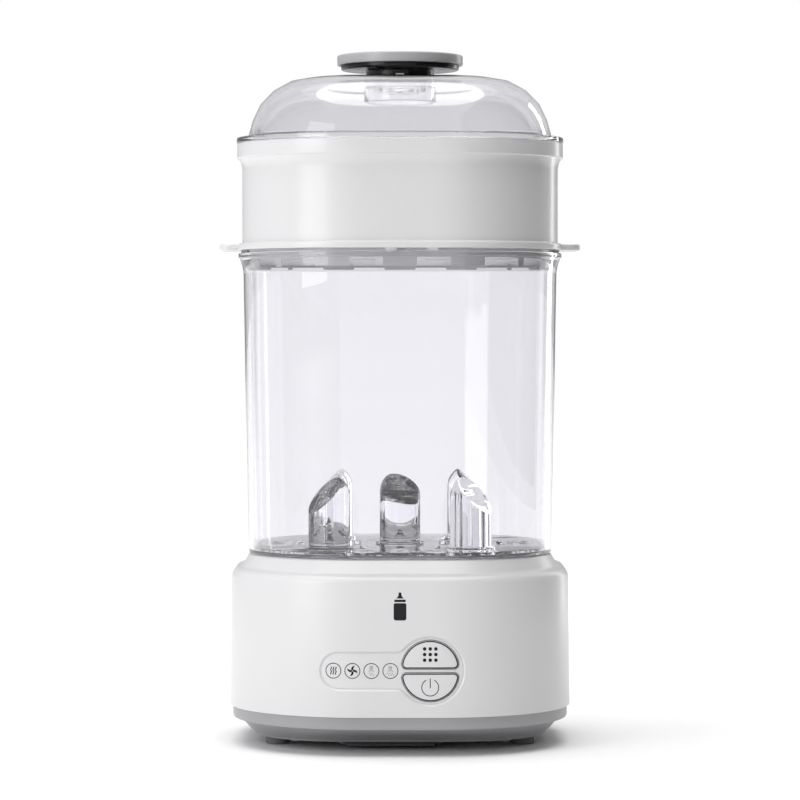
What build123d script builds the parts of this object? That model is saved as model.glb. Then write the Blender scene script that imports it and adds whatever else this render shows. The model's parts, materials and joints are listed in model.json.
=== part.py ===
from build123d import *

import math
import os

# Electric steam sterilizer and dryer for feeding bottles, as separate pieces.
#
# Frame: origin under the middle of the appliance on the surface it stands on, +Z up,
# the control panel faces -Y, +X is to the right of a person facing the panel.
# Every horizontal outline is a rounded square whose corner arcs share one set of
# centres, FLAT_HALF from the axes, so a level is given by its half width alone.

os.makedirs("parts", exist_ok=True)

# ---------------------------------------------------------------- driving dimensions (mm)
# Outline
BASE_HALF = 94.0            # half width of the housing at its foot
FLAT_HALF = 19.0            # half length of the flat part of every side
WALL = 2.6                  # moulded plastic wall
CLEAR_WALL = 2.4            # clear plastic wall
SLIDE_GAP = 0.6             # clearance of parts that lift off
SKIN_GAP = 0.3              # clearance between curved faces of different parts

# Levels of the base
FOOT_HEIGHT = 4.4
TUB_HEIGHT = 9.8            # underside of the tub to the underside of the band
BAND_HEIGHT = 7.0
HOUSING_HEIGHT = 83.8       # band to the top of the collar
COLLAR_HEIGHT = 12.9        # sloping collar above the housing wall
COLLAR_INSET = 10.0
HOUSING_DRAFT = 1.0         # how far the wall leans in over its height
SHOULDER_RADIUS = 8.0
BAND_INSET = 1.6
TUB_INSET = 6.0
TUB_FOOT_INSET_X = 13.0     # housing foot to the tub's foot at the sides
TUB_FOOT_INSET_Y = 33.0     # and at the front and rear
TUB_FOOT_CORNER = 50.0
DECK_DEPTH = 12.0           # collar top to the deck

# Chamber, tray and lid
CHAMBER_HEIGHT = 162.5      # collar to the underside of the chamber's rim
CHAMBER_OVERHANG = 0.8      # how far the chamber's foot stands out over the collar
CHAMBER_DRAFT = 2.8         # how far its wall leans out over its height
CHAMBER_LEDGE_WIDTH = 7.4   # floor ledge inside the wall
CHAMBER_LEDGE = 1.6
SKIRT_DEPTH = 7.0
RIM_THICK = 2.6
RIM_WIDTH = 2.6             # how far the rim stands out from the wall
TRAY_GAP = 1.6              # steam gap between chamber rim and tray, kept open by nubs
TRAY_FLANGE = 3.7
TRAY_OVERHANG = 0.5         # tray wall outside the top of the chamber wall
TRAY_HEIGHT = 58.8          # underside of the flange to the top of the rim
TRAY_RIM_WIDTH = 2.8
TRAY_RIM_HEIGHT = 8.4
TRAY_SKIRT_DEPTH = 9.5
TAB_LENGTH = 10.5           # finger tabs beyond the flange
TAB_THICK = 3.3
TAB_WIDTH = 46.0
LID_FLANGE = 2.9
LID_OVERHANG = 0.2          # lid flange outside the tray's rim
LID_SHOULDER = 6.1          # width of the flange outside the dome
LID_DOME_HEIGHT = 32.6
LID_TAPER = 15.5            # degrees from upright
LID_ROUNDING = 24.0
LID_SKIRT_DEPTH = 5.5
LID_RECESS_RADIUS = 41.0    # thinned middle of the lid
LID_STEP = 0.8
LID_BOSS_RADIUS = 33.5      # raised ring round the knob
LID_BOSS = 0.4

# Knob
STEM_RADIUS = 18.9
STEM_HEIGHT = 6.2
GRIP_RADIUS = 32.9
GRIP_HEIGHT = 3.4
CAP_RADIUS = 35.0
CAP_HEIGHT = 5.0
VENT_SLOT = (4.5, 0.8)
DRIP_RING_RADIUS = 20.0
DRIP_RING_DEPTH = 9.0

# Bottle rack
RACK_FLOOR = 2.0
PEG_RADIUS = 11.3
PEG_WALL = 1.8
PEG_HEIGHT = 39.9
PEG_CUT_START = 19.4        # height of the slanted mouth's lowest point above the floor
PEG_CUT_ANGLE = 48.0
PEG_X = 38.5
PEG_Y = 45.0

# Heating plate
PLATE_RADIUS = 52.0
PLATE_FLANGE = 6.0
PLATE_THICK = 0.8
PLATE_DEPTH = 8.0
PLATE_Y = -12.0
SEAL_THICK = 1.2

# Control panel
BUTTON_X = 16.1
BUTTON_RADIUS = 15.6
BUTTON_SPLIT = 1.8
BUTTON_CORNER = 2.7
BUTTON_OUTLINE = 0.45
BUTTON_TRAVEL = 0.8
PANEL_RADIUS = 17.7
PANEL_LEFT = -42.0
PANEL_HALF_HEIGHT = 9.6
PANEL_RECESS = 0.9
PANEL_FILM = 0.3
LAMP_PITCH = 10.13
LAMP_FIRST_X = -35.5
LAMP_RADIUS = 2.6

# Air path
FAN_X = -5.0
FAN_Y = -33.0
FAN_CASE_RADIUS = 31.0
FAN_CASE_HEIGHT = 24.0
FAN_WALL = 1.6
WHEEL_RADIUS = 24.0
WHEEL_HEIGHT = 16.0
SHAFT_RADIUS = 1.5
RUNNING_FIT = 0.05
MOTOR_RADIUS = 14.0
MOTOR_HEIGHT = 17.0
DUCT_WIDTH = 36.0
RISER_WIDTH = 60.0
RISER_DEPTH = 16.0
OUTLET_Y = 61.0
COVER_WIDTH = 48.0
COVER_FRONT = -58.0
COVER_LENGTH = 50.0
COVER_DROP = 2.7            # how far the filter cover hangs below the tub
TONGUE = 2.0                # how far the cover's edges reach into its rails
FILTER_THICK = 5.0
FILTER_HALF = 21.0

# ---------------------------------------------------------------- levels worked out
TUB_Z = FOOT_HEIGHT
BAND_Z = TUB_Z + TUB_HEIGHT
HOUSING_Z = BAND_Z + BAND_HEIGHT
COLLAR_Z = HOUSING_Z + HOUSING_HEIGHT
BUTTON_Z = HOUSING_Z + 25.1
WALL_TOP_Z = COLLAR_Z - COLLAR_HEIGHT
WALL_TOP_HALF = BASE_HALF - HOUSING_DRAFT
COLLAR_HALF = WALL_TOP_HALF - COLLAR_INSET
SEAT_HALF = COLLAR_HALF - WALL
TUB_FOOT_HALF_X = BASE_HALF - TUB_FOOT_INSET_X
TUB_FOOT_HALF_Y = BASE_HALF - TUB_FOOT_INSET_Y
CHAMBER_FOOT_HALF = COLLAR_HALF + CHAMBER_OVERHANG
CHAMBER_TOP_HALF = CHAMBER_FOOT_HALF + CHAMBER_DRAFT
CHAMBER_LEDGE_HALF = CHAMBER_FOOT_HALF - CLEAR_WALL - CHAMBER_LEDGE_WIDTH
RIM_HALF = CHAMBER_TOP_HALF + RIM_WIDTH
TRAY_HALF = CHAMBER_TOP_HALF + TRAY_OVERHANG
TRAY_RIM_HALF = TRAY_HALF + TRAY_RIM_WIDTH
TAB_REACH = RIM_HALF + TAB_LENGTH
LID_FLANGE_HALF = TRAY_RIM_HALF + LID_OVERHANG
LID_HALF = LID_FLANGE_HALF - LID_SHOULDER
DECK_Z = COLLAR_Z - DECK_DEPTH
DECK_UNDER_Z = DECK_Z - WALL
RACK_Z = COLLAR_Z + CHAMBER_LEDGE
RACK_TOP_Z = RACK_Z + RACK_FLOOR
RIM_Z = COLLAR_Z + CHAMBER_HEIGHT
RIM_TOP_Z = RIM_Z + RIM_THICK
TRAY_Z = RIM_TOP_Z + TRAY_GAP
TRAY_TOP_Z = TRAY_Z + TRAY_HEIGHT
TRAY_INNER_HALF = TRAY_HALF - WALL
LID_Z = TRAY_TOP_Z
DOME_Z = LID_Z + LID_FLANGE
DOME_TOP_Z = DOME_Z + LID_DOME_HEIGHT
STEM_TOP_Z = DOME_TOP_Z + STEM_HEIGHT
CAP_Z = STEM_TOP_Z + GRIP_HEIGHT
FLOOR_Z = TUB_Z + WALL
SEAL_Z = DECK_Z
PLATE_Z = SEAL_Z + SEAL_THICK
PLATE_FLOOR_Z = PLATE_Z + PLATE_THICK - PLATE_DEPTH
HEATER_DEPTH = 6.8
STRAP_Z = PLATE_FLOOR_Z - PLATE_THICK - HEATER_DEPTH
STRAP_THICK = 1.6
BAY_ROOF_Z = TUB_Z + FILTER_THICK + 2.0
FAN_Z = BAY_ROOF_Z + WALL
FAN_TOP_Z = FAN_Z + FAN_CASE_HEIGHT


# ---------------------------------------------------------------- shared shapes
def outline(half_x, half_y=None, corner=None):
    """Rounded square or rectangle, with the shared corner centres unless told otherwise."""
    half_y = half_x if half_y is None else half_y
    corner = min(half_x, half_y) - FLAT_HALF if corner is None else corner
    return RectangleRounded(2 * half_x, 2 * half_y, corner)


def column(half, z_low, z_high):
    return Pos(0, 0, z_low) * extrude(outline(half), z_high - z_low)


def frustum(half_low, z_low, half_high, z_high):
    """Solid whose outline goes evenly from one half width to another."""
    return loft([Pos(0, 0, z_low) * outline(half_low), Pos(0, 0, z_high) * outline(half_high)],
                ruled=True)


def disc(radius, z_low, z_high, x=0.0, y=0.0):
    return Pos(x, y, z_low) * extrude(Circle(radius), z_high - z_low)


def block(x_low, x_high, y_low, y_high, z_low, z_high):
    size = (x_high - x_low, y_high - y_low, z_high - z_low)
    middle = ((x_low + x_high) / 2, (y_low + y_high) / 2, (z_low + z_high) / 2)
    return Pos(*middle) * Box(*size)


def rod_y(radius, x, z, y_low, y_high):
    """Cylinder along Y."""
    return Pos(x, y_low, z) * Rot(-90, 0, 0) * extrude(Circle(radius), y_high - y_low)


def panel_prism(face, y_low, y_high):
    """Extrudes an XZ shape of the control panel along Y between two depths."""
    return Pos(0, y_low, 0) * Rot(90, 0, 0) * extrude(face, -(y_high - y_low))


def screw(radius, length, head_radius, head_height, x, y, z_head):
    """Upright screw whose head is at the bottom, with its shank pointing up."""
    head = disc(head_radius, z_head, z_head + head_height, x, y)
    cross = block(x - head_radius * 0.6, x + head_radius * 0.6, y - 0.4, y + 0.4,
                  z_head, z_head + head_height * 0.6)
    cross += block(x - 0.4, x + 0.4, y - head_radius * 0.6, y + head_radius * 0.6,
                   z_head, z_head + head_height * 0.6)
    return head - cross + disc(radius, z_head + head_height, z_head + head_height + length, x, y)


def group(shapes):
    """Separate solids of one node."""
    return Compound(children=[solid for shape in shapes for solid in shape.solids()])


def save(shape, name):
    export_step(shape, os.path.join("parts", name + ".step"))


# ---------------------------------------------------------------- places used by several pieces
FOOT_X = TUB_FOOT_HALF_X - 13.5
FOOT_Y = TUB_FOOT_HALF_Y / 2 - 0.5
FOOT_RADIUS = 6.35
FEET = [(sx * FOOT_X, sy * FOOT_Y) for sx in (-1, 1) for sy in (-1, 1)]
FOOT_STEM_RADIUS = 2.5
CASE_SCREW_X = TUB_FOOT_HALF_X - 25
CASE_SCREW_Y = TUB_FOOT_HALF_Y - 15
CASE_SCREWS = [(sx * CASE_SCREW_X, sy * CASE_SCREW_Y) for sx in (-1, 1) for sy in (-1, 1)]
SCREW_RADIUS = 1.45
SCREW_HEAD = 2.8
SCREW_HEAD_HEIGHT = 1.8
POST_RADIUS = 4.0
POST_LENGTH = DECK_UNDER_Z - HOUSING_Z - 5.2
STRAP_SCREW_X = PLATE_RADIUS + 12
STRAP_HALF_LENGTH = STRAP_SCREW_X + 4
STRAP_WIDTH = 12.0
COVER_LOW_X = FAN_X - COVER_WIDTH / 2
COVER_HIGH_X = FAN_X + COVER_WIDTH / 2
COVER_Z = TUB_Z - COVER_DROP
BOARD_FRONT_Y = 12 - BASE_HALF
BOARD_THICK = 1.6
POWER_BOARD = (34.0, 78.0, -32.0, 38.0)
POWER_BOARD_Z = FLOOR_Z + 9.0
KNOB_SCREW_X = 12.0
LAMPS = [LAMP_FIRST_X + LAMP_PITCH * i for i in range(4)]
GLAND_Z = HOUSING_Z + 11.8
GLAND_RADIUS = 5.4
GLAND_FLANGE = 8.4


def wall_body(inset):
    """Solid inside the housing wall's outer face, moved in by inset."""
    return frustum(BASE_HALF - inset, HOUSING_Z, WALL_TOP_HALF - inset, WALL_TOP_Z)


def wall_layer(outer_inset, inner_inset, z_low, z_high):
    """Front part of the layer between two insets of the housing wall."""
    layer = wall_body(outer_inset) - wall_body(inner_inset)
    return layer & block(-BASE_HALF, BASE_HALF, -BASE_HALF - 1, -40, z_low, z_high)


def half_disc(upper, grow=0.0, flat_grow=None):
    """One D-shaped button face in the panel's X and Z, grown all round."""
    flat_grow = grow if flat_grow is None else flat_grow
    side = 1 if upper else -1
    radius = BUTTON_RADIUS + grow
    flat = side * (BUTTON_SPLIT / 2 - flat_grow)
    face = Pos(0, side * BUTTON_SPLIT / 2) * Circle(radius)
    keep = Pos(0, flat + side * radius) * Rectangle(4 * radius, 2 * radius)
    face = face & keep
    face = fillet(face.vertices(), BUTTON_CORNER + grow)
    return Pos(BUTTON_X, BUTTON_Z) * face


def panel_face(grow=0.0):
    """Pill for the lamps that flows into the ring round the buttons."""
    ring = Pos(BUTTON_X, BUTTON_Z) * Circle(PANEL_RADIUS + grow)
    low_x = PANEL_LEFT - grow
    half = PANEL_HALF_HEIGHT + grow
    length = BUTTON_X - low_x
    pill = Pos(low_x + half, BUTTON_Z) * Circle(half)
    pill += Pos(low_x + half + (length - half) / 2, BUTTON_Z) * Rectangle(length - half, 2 * half)
    face = ring + pill
    notch_x = BUTTON_X - math.sqrt((PANEL_RADIUS + grow) ** 2 - half**2)
    corners = [v for v in face.vertices() if abs(v.X - notch_x) < 0.5]
    return fillet(corners, 6.0 - grow)


# ---------------------------------------------------------------- base
def base_housing():
    """White housing: wall, sloping collar, seat for the chamber and the deck inside it."""
    outer = frustum(BASE_HALF, HOUSING_Z, WALL_TOP_HALF, WALL_TOP_Z)
    outer += frustum(WALL_TOP_HALF, WALL_TOP_Z, COLLAR_HALF, COLLAR_Z)
    shoulder = [e for e in outer.edges() if abs(e.center().Z - WALL_TOP_Z) < 0.01
                and abs(e.bounding_box().size.Z) < 0.01]
    outer = fillet(shoulder, SHOULDER_RADIUS)
    body = outer - frustum(BASE_HALF - WALL, HOUSING_Z, WALL_TOP_HALF - WALL - 0.3, DECK_UNDER_Z)
    body -= column(SEAT_HALF, DECK_Z, COLLAR_Z)
    groove = frustum(WALL_TOP_HALF - 3.4, DECK_UNDER_Z, WALL_TOP_HALF - 9.4, DECK_UNDER_Z + 8.0)
    body -= groove - column(SEAT_HALF + WALL, DECK_UNDER_Z, DECK_UNDER_Z + 8.0)
    # well for the heating plate, with a lip that carries the seal
    body -= disc(PLATE_RADIUS + PLATE_THICK + SKIN_GAP, DECK_UNDER_Z, DECK_Z, 0, PLATE_Y)
    # air outlet in the deck
    body -= block(-RISER_WIDTH / 2 + 2, RISER_WIDTH / 2 - 2, OUTLET_Y - 5, OUTLET_Y + 5,
                  DECK_UNDER_Z, DECK_Z)
    # posts for the case screws and bosses for the heater strap
    for x, y in CASE_SCREWS:
        body += disc(POST_RADIUS, DECK_UNDER_Z - POST_LENGTH, DECK_UNDER_Z, x, y)
        body -= disc(SCREW_RADIUS, DECK_UNDER_Z - POST_LENGTH, DECK_UNDER_Z - POST_LENGTH + 14, x, y)
    for x in (-STRAP_SCREW_X, STRAP_SCREW_X):
        body += disc(POST_RADIUS, STRAP_Z + STRAP_THICK, DECK_UNDER_Z, x, PLATE_Y)
        body -= disc(SCREW_RADIUS, STRAP_Z + STRAP_THICK, STRAP_Z + STRAP_THICK + 7, x, PLATE_Y)
    # panel recess, button openings and thinned windows in front of the lamps
    low_z, high_z = BUTTON_Z - 25, BUTTON_Z + 25
    recess = panel_prism(panel_face(), -BASE_HALF - 1, -40)
    body -= recess & wall_layer(-1.0, PANEL_RECESS, low_z, high_z)
    for upper in (True, False):
        body -= panel_prism(half_disc(upper, BUTTON_OUTLINE / 2), -BASE_HALF - 1, -80)
    for x in LAMPS:
        window = rod_y(LAMP_RADIUS + SKIN_GAP, x, BUTTON_Z, -BASE_HALF, -80)
        body -= window & wall_body(1.6)
    # opening for the mains lead's gland
    body -= rod_y(GLAND_FLANGE + 0.2, 0, GLAND_Z, BASE_HALF - 1.6, BASE_HALF + 1)
    body -= rod_y(GLAND_RADIUS + 0.05, 0, GLAND_Z, BASE_HALF - 6, BASE_HALF)
    return body


def filter_block(half, z_low, z_high):
    """Square column on the filter's axis."""
    return block(FAN_X - half, FAN_X + half, FAN_Y - half, FAN_Y + half, z_low, z_high)


def tub_body(inset):
    """Solid inside the tub's outer face, moved in by inset, open at the top of the tub."""
    top = outline(BASE_HALF - BAND_INSET - TUB_INSET + 1.6 - inset)
    foot = outline(TUB_FOOT_HALF_X - inset, TUB_FOOT_HALF_Y - inset, TUB_FOOT_CORNER - inset)
    waist = outline(TUB_FOOT_HALF_X + 3.4 - inset, TUB_FOOT_HALF_Y + 7.0 - inset,
                    TUB_FOOT_CORNER + 4.0 - inset)
    return loft([Pos(0, 0, TUB_Z + inset) * foot, Pos(0, 0, TUB_Z + 4.6) * waist,
                 Pos(0, 0, BAND_Z + inset) * top], ruled=True)


def bottom_cover():
    """Grey tub with the band round its top, the filter bay and the screw sockets."""
    band_half = BASE_HALF - BAND_INSET
    body = column(band_half, BAND_Z, HOUSING_Z)
    body = fillet(body.edges().group_by(Axis.Z)[0], 1.8)
    body = body + tub_body(0)
    body -= column(band_half - WALL, BAND_Z + WALL, HOUSING_Z) + tub_body(WALL)
    # filter bay: a pocket open below, with a roof that the blower stands on
    body += filter_block(FILTER_HALF + 1.8, FLOOR_Z - 0.5, BAY_ROOF_Z + WALL)
    body -= filter_block(FILTER_HALF, TUB_Z, BAY_ROOF_Z)
    # rails that the filter cover's edges slide in
    reach = TONGUE + SKIN_GAP
    for edge_x, side in ((COVER_LOW_X, -1), (COVER_HIGH_X, 1)):
        low_x, high_x = sorted((edge_x + side * SKIN_GAP, edge_x + side * (reach + 2.0)))
        rail = block(low_x, high_x, COVER_FRONT + 8, COVER_FRONT + COVER_LENGTH - 2,
                     COVER_Z + 0.2, TUB_Z)
        low_x, high_x = sorted((edge_x - side, edge_x + side * reach))
        body += rail - block(low_x, high_x, COVER_FRONT, 0, COVER_Z + 1.0, TUB_Z)
    body -= disc(WHEEL_RADIUS * 0.7, BAY_ROOF_Z, BAY_ROOF_Z + WALL, FAN_X, FAN_Y)
    for x, y in FEET:
        body -= disc(FOOT_STEM_RADIUS, TUB_Z, FLOOR_Z, x, y)
    post_foot = DECK_UNDER_Z - POST_LENGTH
    for x, y in CASE_SCREWS:
        body += disc(POST_RADIUS + 1.2, FLOOR_Z - 0.2, post_foot, x, y)
        body -= disc(SCREW_HEAD + 0.4, TUB_Z, post_foot - 3.0, x, y)
        body -= disc(SCREW_RADIUS + 0.25, post_foot - 3.0, post_foot, x, y)
    for x in (POWER_BOARD[0] + 3, POWER_BOARD[1] - 3):
        for y in (POWER_BOARD[2] + 3, POWER_BOARD[3] - 3):
            body += disc(2.8, FLOOR_Z - 0.2, POWER_BOARD_Z, x, y)
            body -= disc(1.1, POWER_BOARD_Z - 6, POWER_BOARD_Z, x, y)
    return body


def rubber_feet():
    feet = []
    for x, y in FEET:
        pad = fillet(disc(FOOT_RADIUS, 0, TUB_Z, x, y).edges().group_by(Axis.Z)[0], 0.8)
        stem = disc(FOOT_STEM_RADIUS, TUB_Z, FLOOR_Z, x, y)
        barb = Pos(x, y, FLOOR_Z + 1.2) * Cone(FOOT_STEM_RADIUS + 1.0, FOOT_STEM_RADIUS - 0.7, 2.4)
        feet.append(pad + stem + barb)
    return group(feet)


def bottom_screws():
    head_z = DECK_UNDER_Z - POST_LENGTH - 3.0 - SCREW_HEAD_HEIGHT
    return group([screw(SCREW_RADIUS - 0.05, 14, SCREW_HEAD, SCREW_HEAD_HEIGHT, x, y, head_z)
                  for x, y in CASE_SCREWS])


def cord_gland():
    """Rubber bush in the rear wall that a mains lead passes through."""
    face_y = BASE_HALF - 1.6
    bush = rod_y(GLAND_FLANGE, 0, GLAND_Z, face_y, face_y + 1.4)
    bush += rod_y(GLAND_RADIUS, 0, GLAND_Z, face_y - 2.6, face_y)
    bush += rod_y(GLAND_RADIUS + 1.6, 0, GLAND_Z, face_y - 5.0, face_y - 2.6)
    bush = fillet(bush.edges().group_by(Axis.Y)[-1], 0.5)
    return bush - rod_y(3.6, 0, GLAND_Z, face_y - 6, face_y + 3)


# ---------------------------------------------------------------- heating
def heating_plate():
    """Stainless water dish with a flange that rests on the seal."""
    rim_z = PLATE_Z + PLATE_THICK
    body = disc(PLATE_RADIUS + PLATE_FLANGE, PLATE_Z, rim_z, 0, PLATE_Y)
    well = disc(PLATE_RADIUS + PLATE_THICK, PLATE_FLOOR_Z - PLATE_THICK, PLATE_Z, 0, PLATE_Y)
    well = fillet(well.edges().group_by(Axis.Z)[0], 3.0)
    bowl = disc(PLATE_RADIUS, PLATE_FLOOR_Z, rim_z, 0, PLATE_Y)
    bowl = fillet(bowl.edges().group_by(Axis.Z)[0], 2.2)
    return body + well - bowl


def plate_seal():
    inner = PLATE_RADIUS + PLATE_THICK + SKIN_GAP
    ring = disc(PLATE_RADIUS + PLATE_FLANGE - 0.4, SEAL_Z, PLATE_Z, 0, PLATE_Y)
    return ring - disc(inner, SEAL_Z, PLATE_Z, 0, PLATE_Y)


def heating_ring():
    """Cast ring with the sealed element in it, pressed under the dish."""
    top_z = PLATE_FLOOR_Z - PLATE_THICK
    ring = disc(45, STRAP_Z + STRAP_THICK, top_z, 0, PLATE_Y)
    ring -= disc(30, STRAP_Z + STRAP_THICK, top_z, 0, PLATE_Y)
    ring = chamfer(ring.edges().group_by(Axis.Z)[0], 1.5)
    for x in (-8, 8):
        ring += disc(1.6, STRAP_Z - 8, STRAP_Z + STRAP_THICK, x, PLATE_Y + 37.5)
    return ring


def thermostat():
    """Snap-disc thermostat held against the middle of the dish."""
    top_z = PLATE_FLOOR_Z - PLATE_THICK
    body = disc(8.5, STRAP_Z + STRAP_THICK, top_z, 0, PLATE_Y)
    body = fillet(body.edges().group_by(Axis.Z)[-1], 0.6)
    for x in (-12.5, 9.5):
        body += block(x, x + 3, PLATE_Y - 3, PLATE_Y + 3, STRAP_Z + STRAP_THICK + 1,
                      STRAP_Z + STRAP_THICK + 1.8)
    for x in (-9.6, 8.4):
        body += block(x, x + 1.2, PLATE_Y - 3, PLATE_Y + 3, STRAP_Z + STRAP_THICK + 1,
                      STRAP_Z + STRAP_THICK + 1.8)
    return body


def thermal_fuse():
    """Ceramic one-shot fuse under the heating ring."""
    z_high = STRAP_Z + STRAP_THICK
    body = block(-11, 11, PLATE_Y - 41, PLATE_Y - 34, z_high - 6, z_high)
    body = fillet(body.edges().filter_by(Axis.X), 1.2)
    for side in (-1, 1):
        lead = block(11, 17, PLATE_Y - 37.9, PLATE_Y - 37.1, z_high - 3.4, z_high - 2.6)
        body += lead if side > 0 else mirror(lead, Plane.YZ)
    return body


def clamp_strap():
    """Spring steel strap that holds the heating ring and thermostat up to the dish."""
    body = block(-STRAP_HALF_LENGTH, STRAP_HALF_LENGTH, PLATE_Y - STRAP_WIDTH / 2,
                 PLATE_Y + STRAP_WIDTH / 2, STRAP_Z, STRAP_Z + STRAP_THICK)
    body = fillet(body.edges().filter_by(Axis.Z), 3)
    for x in (-STRAP_SCREW_X, STRAP_SCREW_X):
        body -= disc(SCREW_RADIUS + 0.2, STRAP_Z, STRAP_Z + STRAP_THICK, x, PLATE_Y)
    return body


def strap_screws():
    return group([screw(SCREW_RADIUS - 0.05, STRAP_THICK + 6, SCREW_HEAD, SCREW_HEAD_HEIGHT, x,
                        PLATE_Y, STRAP_Z - SCREW_HEAD_HEIGHT)
                  for x in (-STRAP_SCREW_X, STRAP_SCREW_X)])


# ---------------------------------------------------------------- air path
def air_outlet():
    """Hooded vent on the deck that lets warm air up and keeps drips out."""
    half, depth = RISER_WIDTH / 2, RISER_DEPTH / 2
    hood = Pos(0, OUTLET_Y, DECK_Z) * extrude(RectangleRounded(2 * half + 2, 2 * depth, 6), 10)
    hood = fillet(hood.edges().group_by(Axis.Z)[-1], 3)
    hood -= block(-half + 2, half - 2, OUTLET_Y - 5, OUTLET_Y + 5, DECK_Z, DECK_Z + 8.2)
    for i in range(7):
        x = -24 + 8 * i
        hood -= block(x - 2.6, x + 2.6, OUTLET_Y - depth - 1, OUTLET_Y - 4, DECK_Z + 2.4, DECK_Z + 7)
    return hood


def fan_case_outline(inset):
    """Snail-shaped outline of the blower: a circle with a throat going to the rear."""
    circle = Circle(FAN_CASE_RADIUS - inset)
    throat = Pos(0, FAN_CASE_RADIUS / 2 + 3) * Rectangle(DUCT_WIDTH - 2 * inset,
                                                         FAN_CASE_RADIUS + 6)
    return Pos(FAN_X, FAN_Y) * (circle + throat)


def fan_housing():
    """Blower case standing on the bay's roof, with the inlet below and the throat behind."""
    body = Pos(0, 0, FAN_Z) * extrude(fan_case_outline(0), FAN_CASE_HEIGHT)
    body -= Pos(0, 0, FAN_Z + FAN_WALL) * extrude(fan_case_outline(FAN_WALL),
                                                  FAN_CASE_HEIGHT - 2 * FAN_WALL)
    throat_y = FAN_Y + FAN_CASE_RADIUS + 6
    body -= block(FAN_X - DUCT_WIDTH / 2 + FAN_WALL, FAN_X + DUCT_WIDTH / 2 - FAN_WALL,
                  throat_y - 4, throat_y + 1, FAN_Z + FAN_WALL, FAN_TOP_Z - FAN_WALL)
    body -= disc(WHEEL_RADIUS * 0.7, FAN_Z, FAN_Z + FAN_WALL, FAN_X, FAN_Y)
    body -= disc(4.0, FAN_TOP_Z - FAN_WALL, FAN_TOP_Z, FAN_X, FAN_Y)
    return body


def fan_impeller():
    """Centrifugal wheel: a back disc, a ring of blades and an inlet ring."""
    low_z = FAN_Z + FAN_WALL + 1.6
    high_z = low_z + WHEEL_HEIGHT
    wheel = disc(WHEEL_RADIUS, high_z - 1.4, high_z, FAN_X, FAN_Y)
    wheel += disc(4.5, low_z + 5, high_z, FAN_X, FAN_Y)
    wheel += disc(WHEEL_RADIUS, low_z, low_z + 1.2, FAN_X, FAN_Y)
    wheel -= disc(WHEEL_RADIUS * 0.78, low_z, low_z + 1.2, FAN_X, FAN_Y)
    blades = 24
    for i in range(blades):
        blade = Pos(FAN_X, FAN_Y, low_z + 0.6) * Rot(0, 0, 360 * i / blades)
        blade = blade * Pos(WHEEL_RADIUS * 0.89, 0, 0) * Rot(0, 0, 35)
        wheel += blade * Pos(0, 0, (WHEEL_HEIGHT - 1.2) / 2) * Box(5.6, 1.0, WHEEL_HEIGHT - 1.2)
    wheel &= disc(WHEEL_RADIUS, low_z, high_z, FAN_X, FAN_Y)
    return wheel - disc(SHAFT_RADIUS, low_z, high_z, FAN_X, FAN_Y)


def motor_shaft():
    low_z = FAN_Z + FAN_WALL + 1.6 + 4
    return disc(SHAFT_RADIUS, low_z, FAN_TOP_Z + MOTOR_HEIGHT - 3, FAN_X, FAN_Y)


def fan_motor():
    """Brushless motor can on the blower case, with a blind bore for its shaft."""
    body = disc(MOTOR_RADIUS, FAN_TOP_Z, FAN_TOP_Z + MOTOR_HEIGHT, FAN_X, FAN_Y)
    body = fillet(body.edges().group_by(Axis.Z)[-1], 1.5)
    body += disc(6, FAN_TOP_Z + MOTOR_HEIGHT, FAN_TOP_Z + MOTOR_HEIGHT + 1.5, FAN_X, FAN_Y)
    return body - disc(SHAFT_RADIUS + RUNNING_FIT, FAN_TOP_Z, FAN_TOP_Z + MOTOR_HEIGHT - 2,
                       FAN_X, FAN_Y)


def air_duct():
    """Duct from the blower's throat to the rear, then up to the outlet in the deck."""
    start_y = FAN_Y + FAN_CASE_RADIUS + 6
    end_y = OUTLET_Y + RISER_DEPTH / 2
    low_x, high_x = FAN_X - DUCT_WIDTH / 2, FAN_X + DUCT_WIDTH / 2
    run = block(low_x, high_x, start_y, end_y, FAN_Z, FAN_TOP_Z)
    riser = block(-RISER_WIDTH / 2, RISER_WIDTH / 2, end_y - RISER_DEPTH, end_y, FAN_Z, DECK_UNDER_Z)
    wall = FAN_WALL
    hollow = block(low_x + wall, high_x - wall, start_y, end_y - wall, FAN_Z + wall,
                   FAN_TOP_Z - wall)
    hollow += block(-RISER_WIDTH / 2 + wall, RISER_WIDTH / 2 - wall, end_y - RISER_DEPTH + wall,
                    end_y - wall, FAN_Z + wall, DECK_UNDER_Z)
    return run + riser - hollow


def ptc_heater():
    """Finned ceramic air heater that fills the duct's cross-section."""
    gap = 0.4
    low_x = FAN_X - DUCT_WIDTH / 2 + FAN_WALL + gap
    high_x = FAN_X + DUCT_WIDTH / 2 - FAN_WALL - gap
    low_z, high_z = FAN_Z + FAN_WALL, FAN_TOP_Z - FAN_WALL
    start_y = FAN_Y + FAN_CASE_RADIUS + 14
    body = block(low_x, high_x, start_y, start_y + 14, low_z, high_z)
    count = 9
    pitch = (high_x - low_x - 2) / count
    for row in (0, 1):
        z = low_z + 1.4 + row * (high_z - low_z) / 2
        for i in range(count):
            x = low_x + 1 + pitch * (i + 0.5)
            body -= block(x - pitch * 0.36, x + pitch * 0.36, start_y, start_y + 14, z,
                          z + (high_z - low_z) / 2 - 2.8)
    return body


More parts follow.
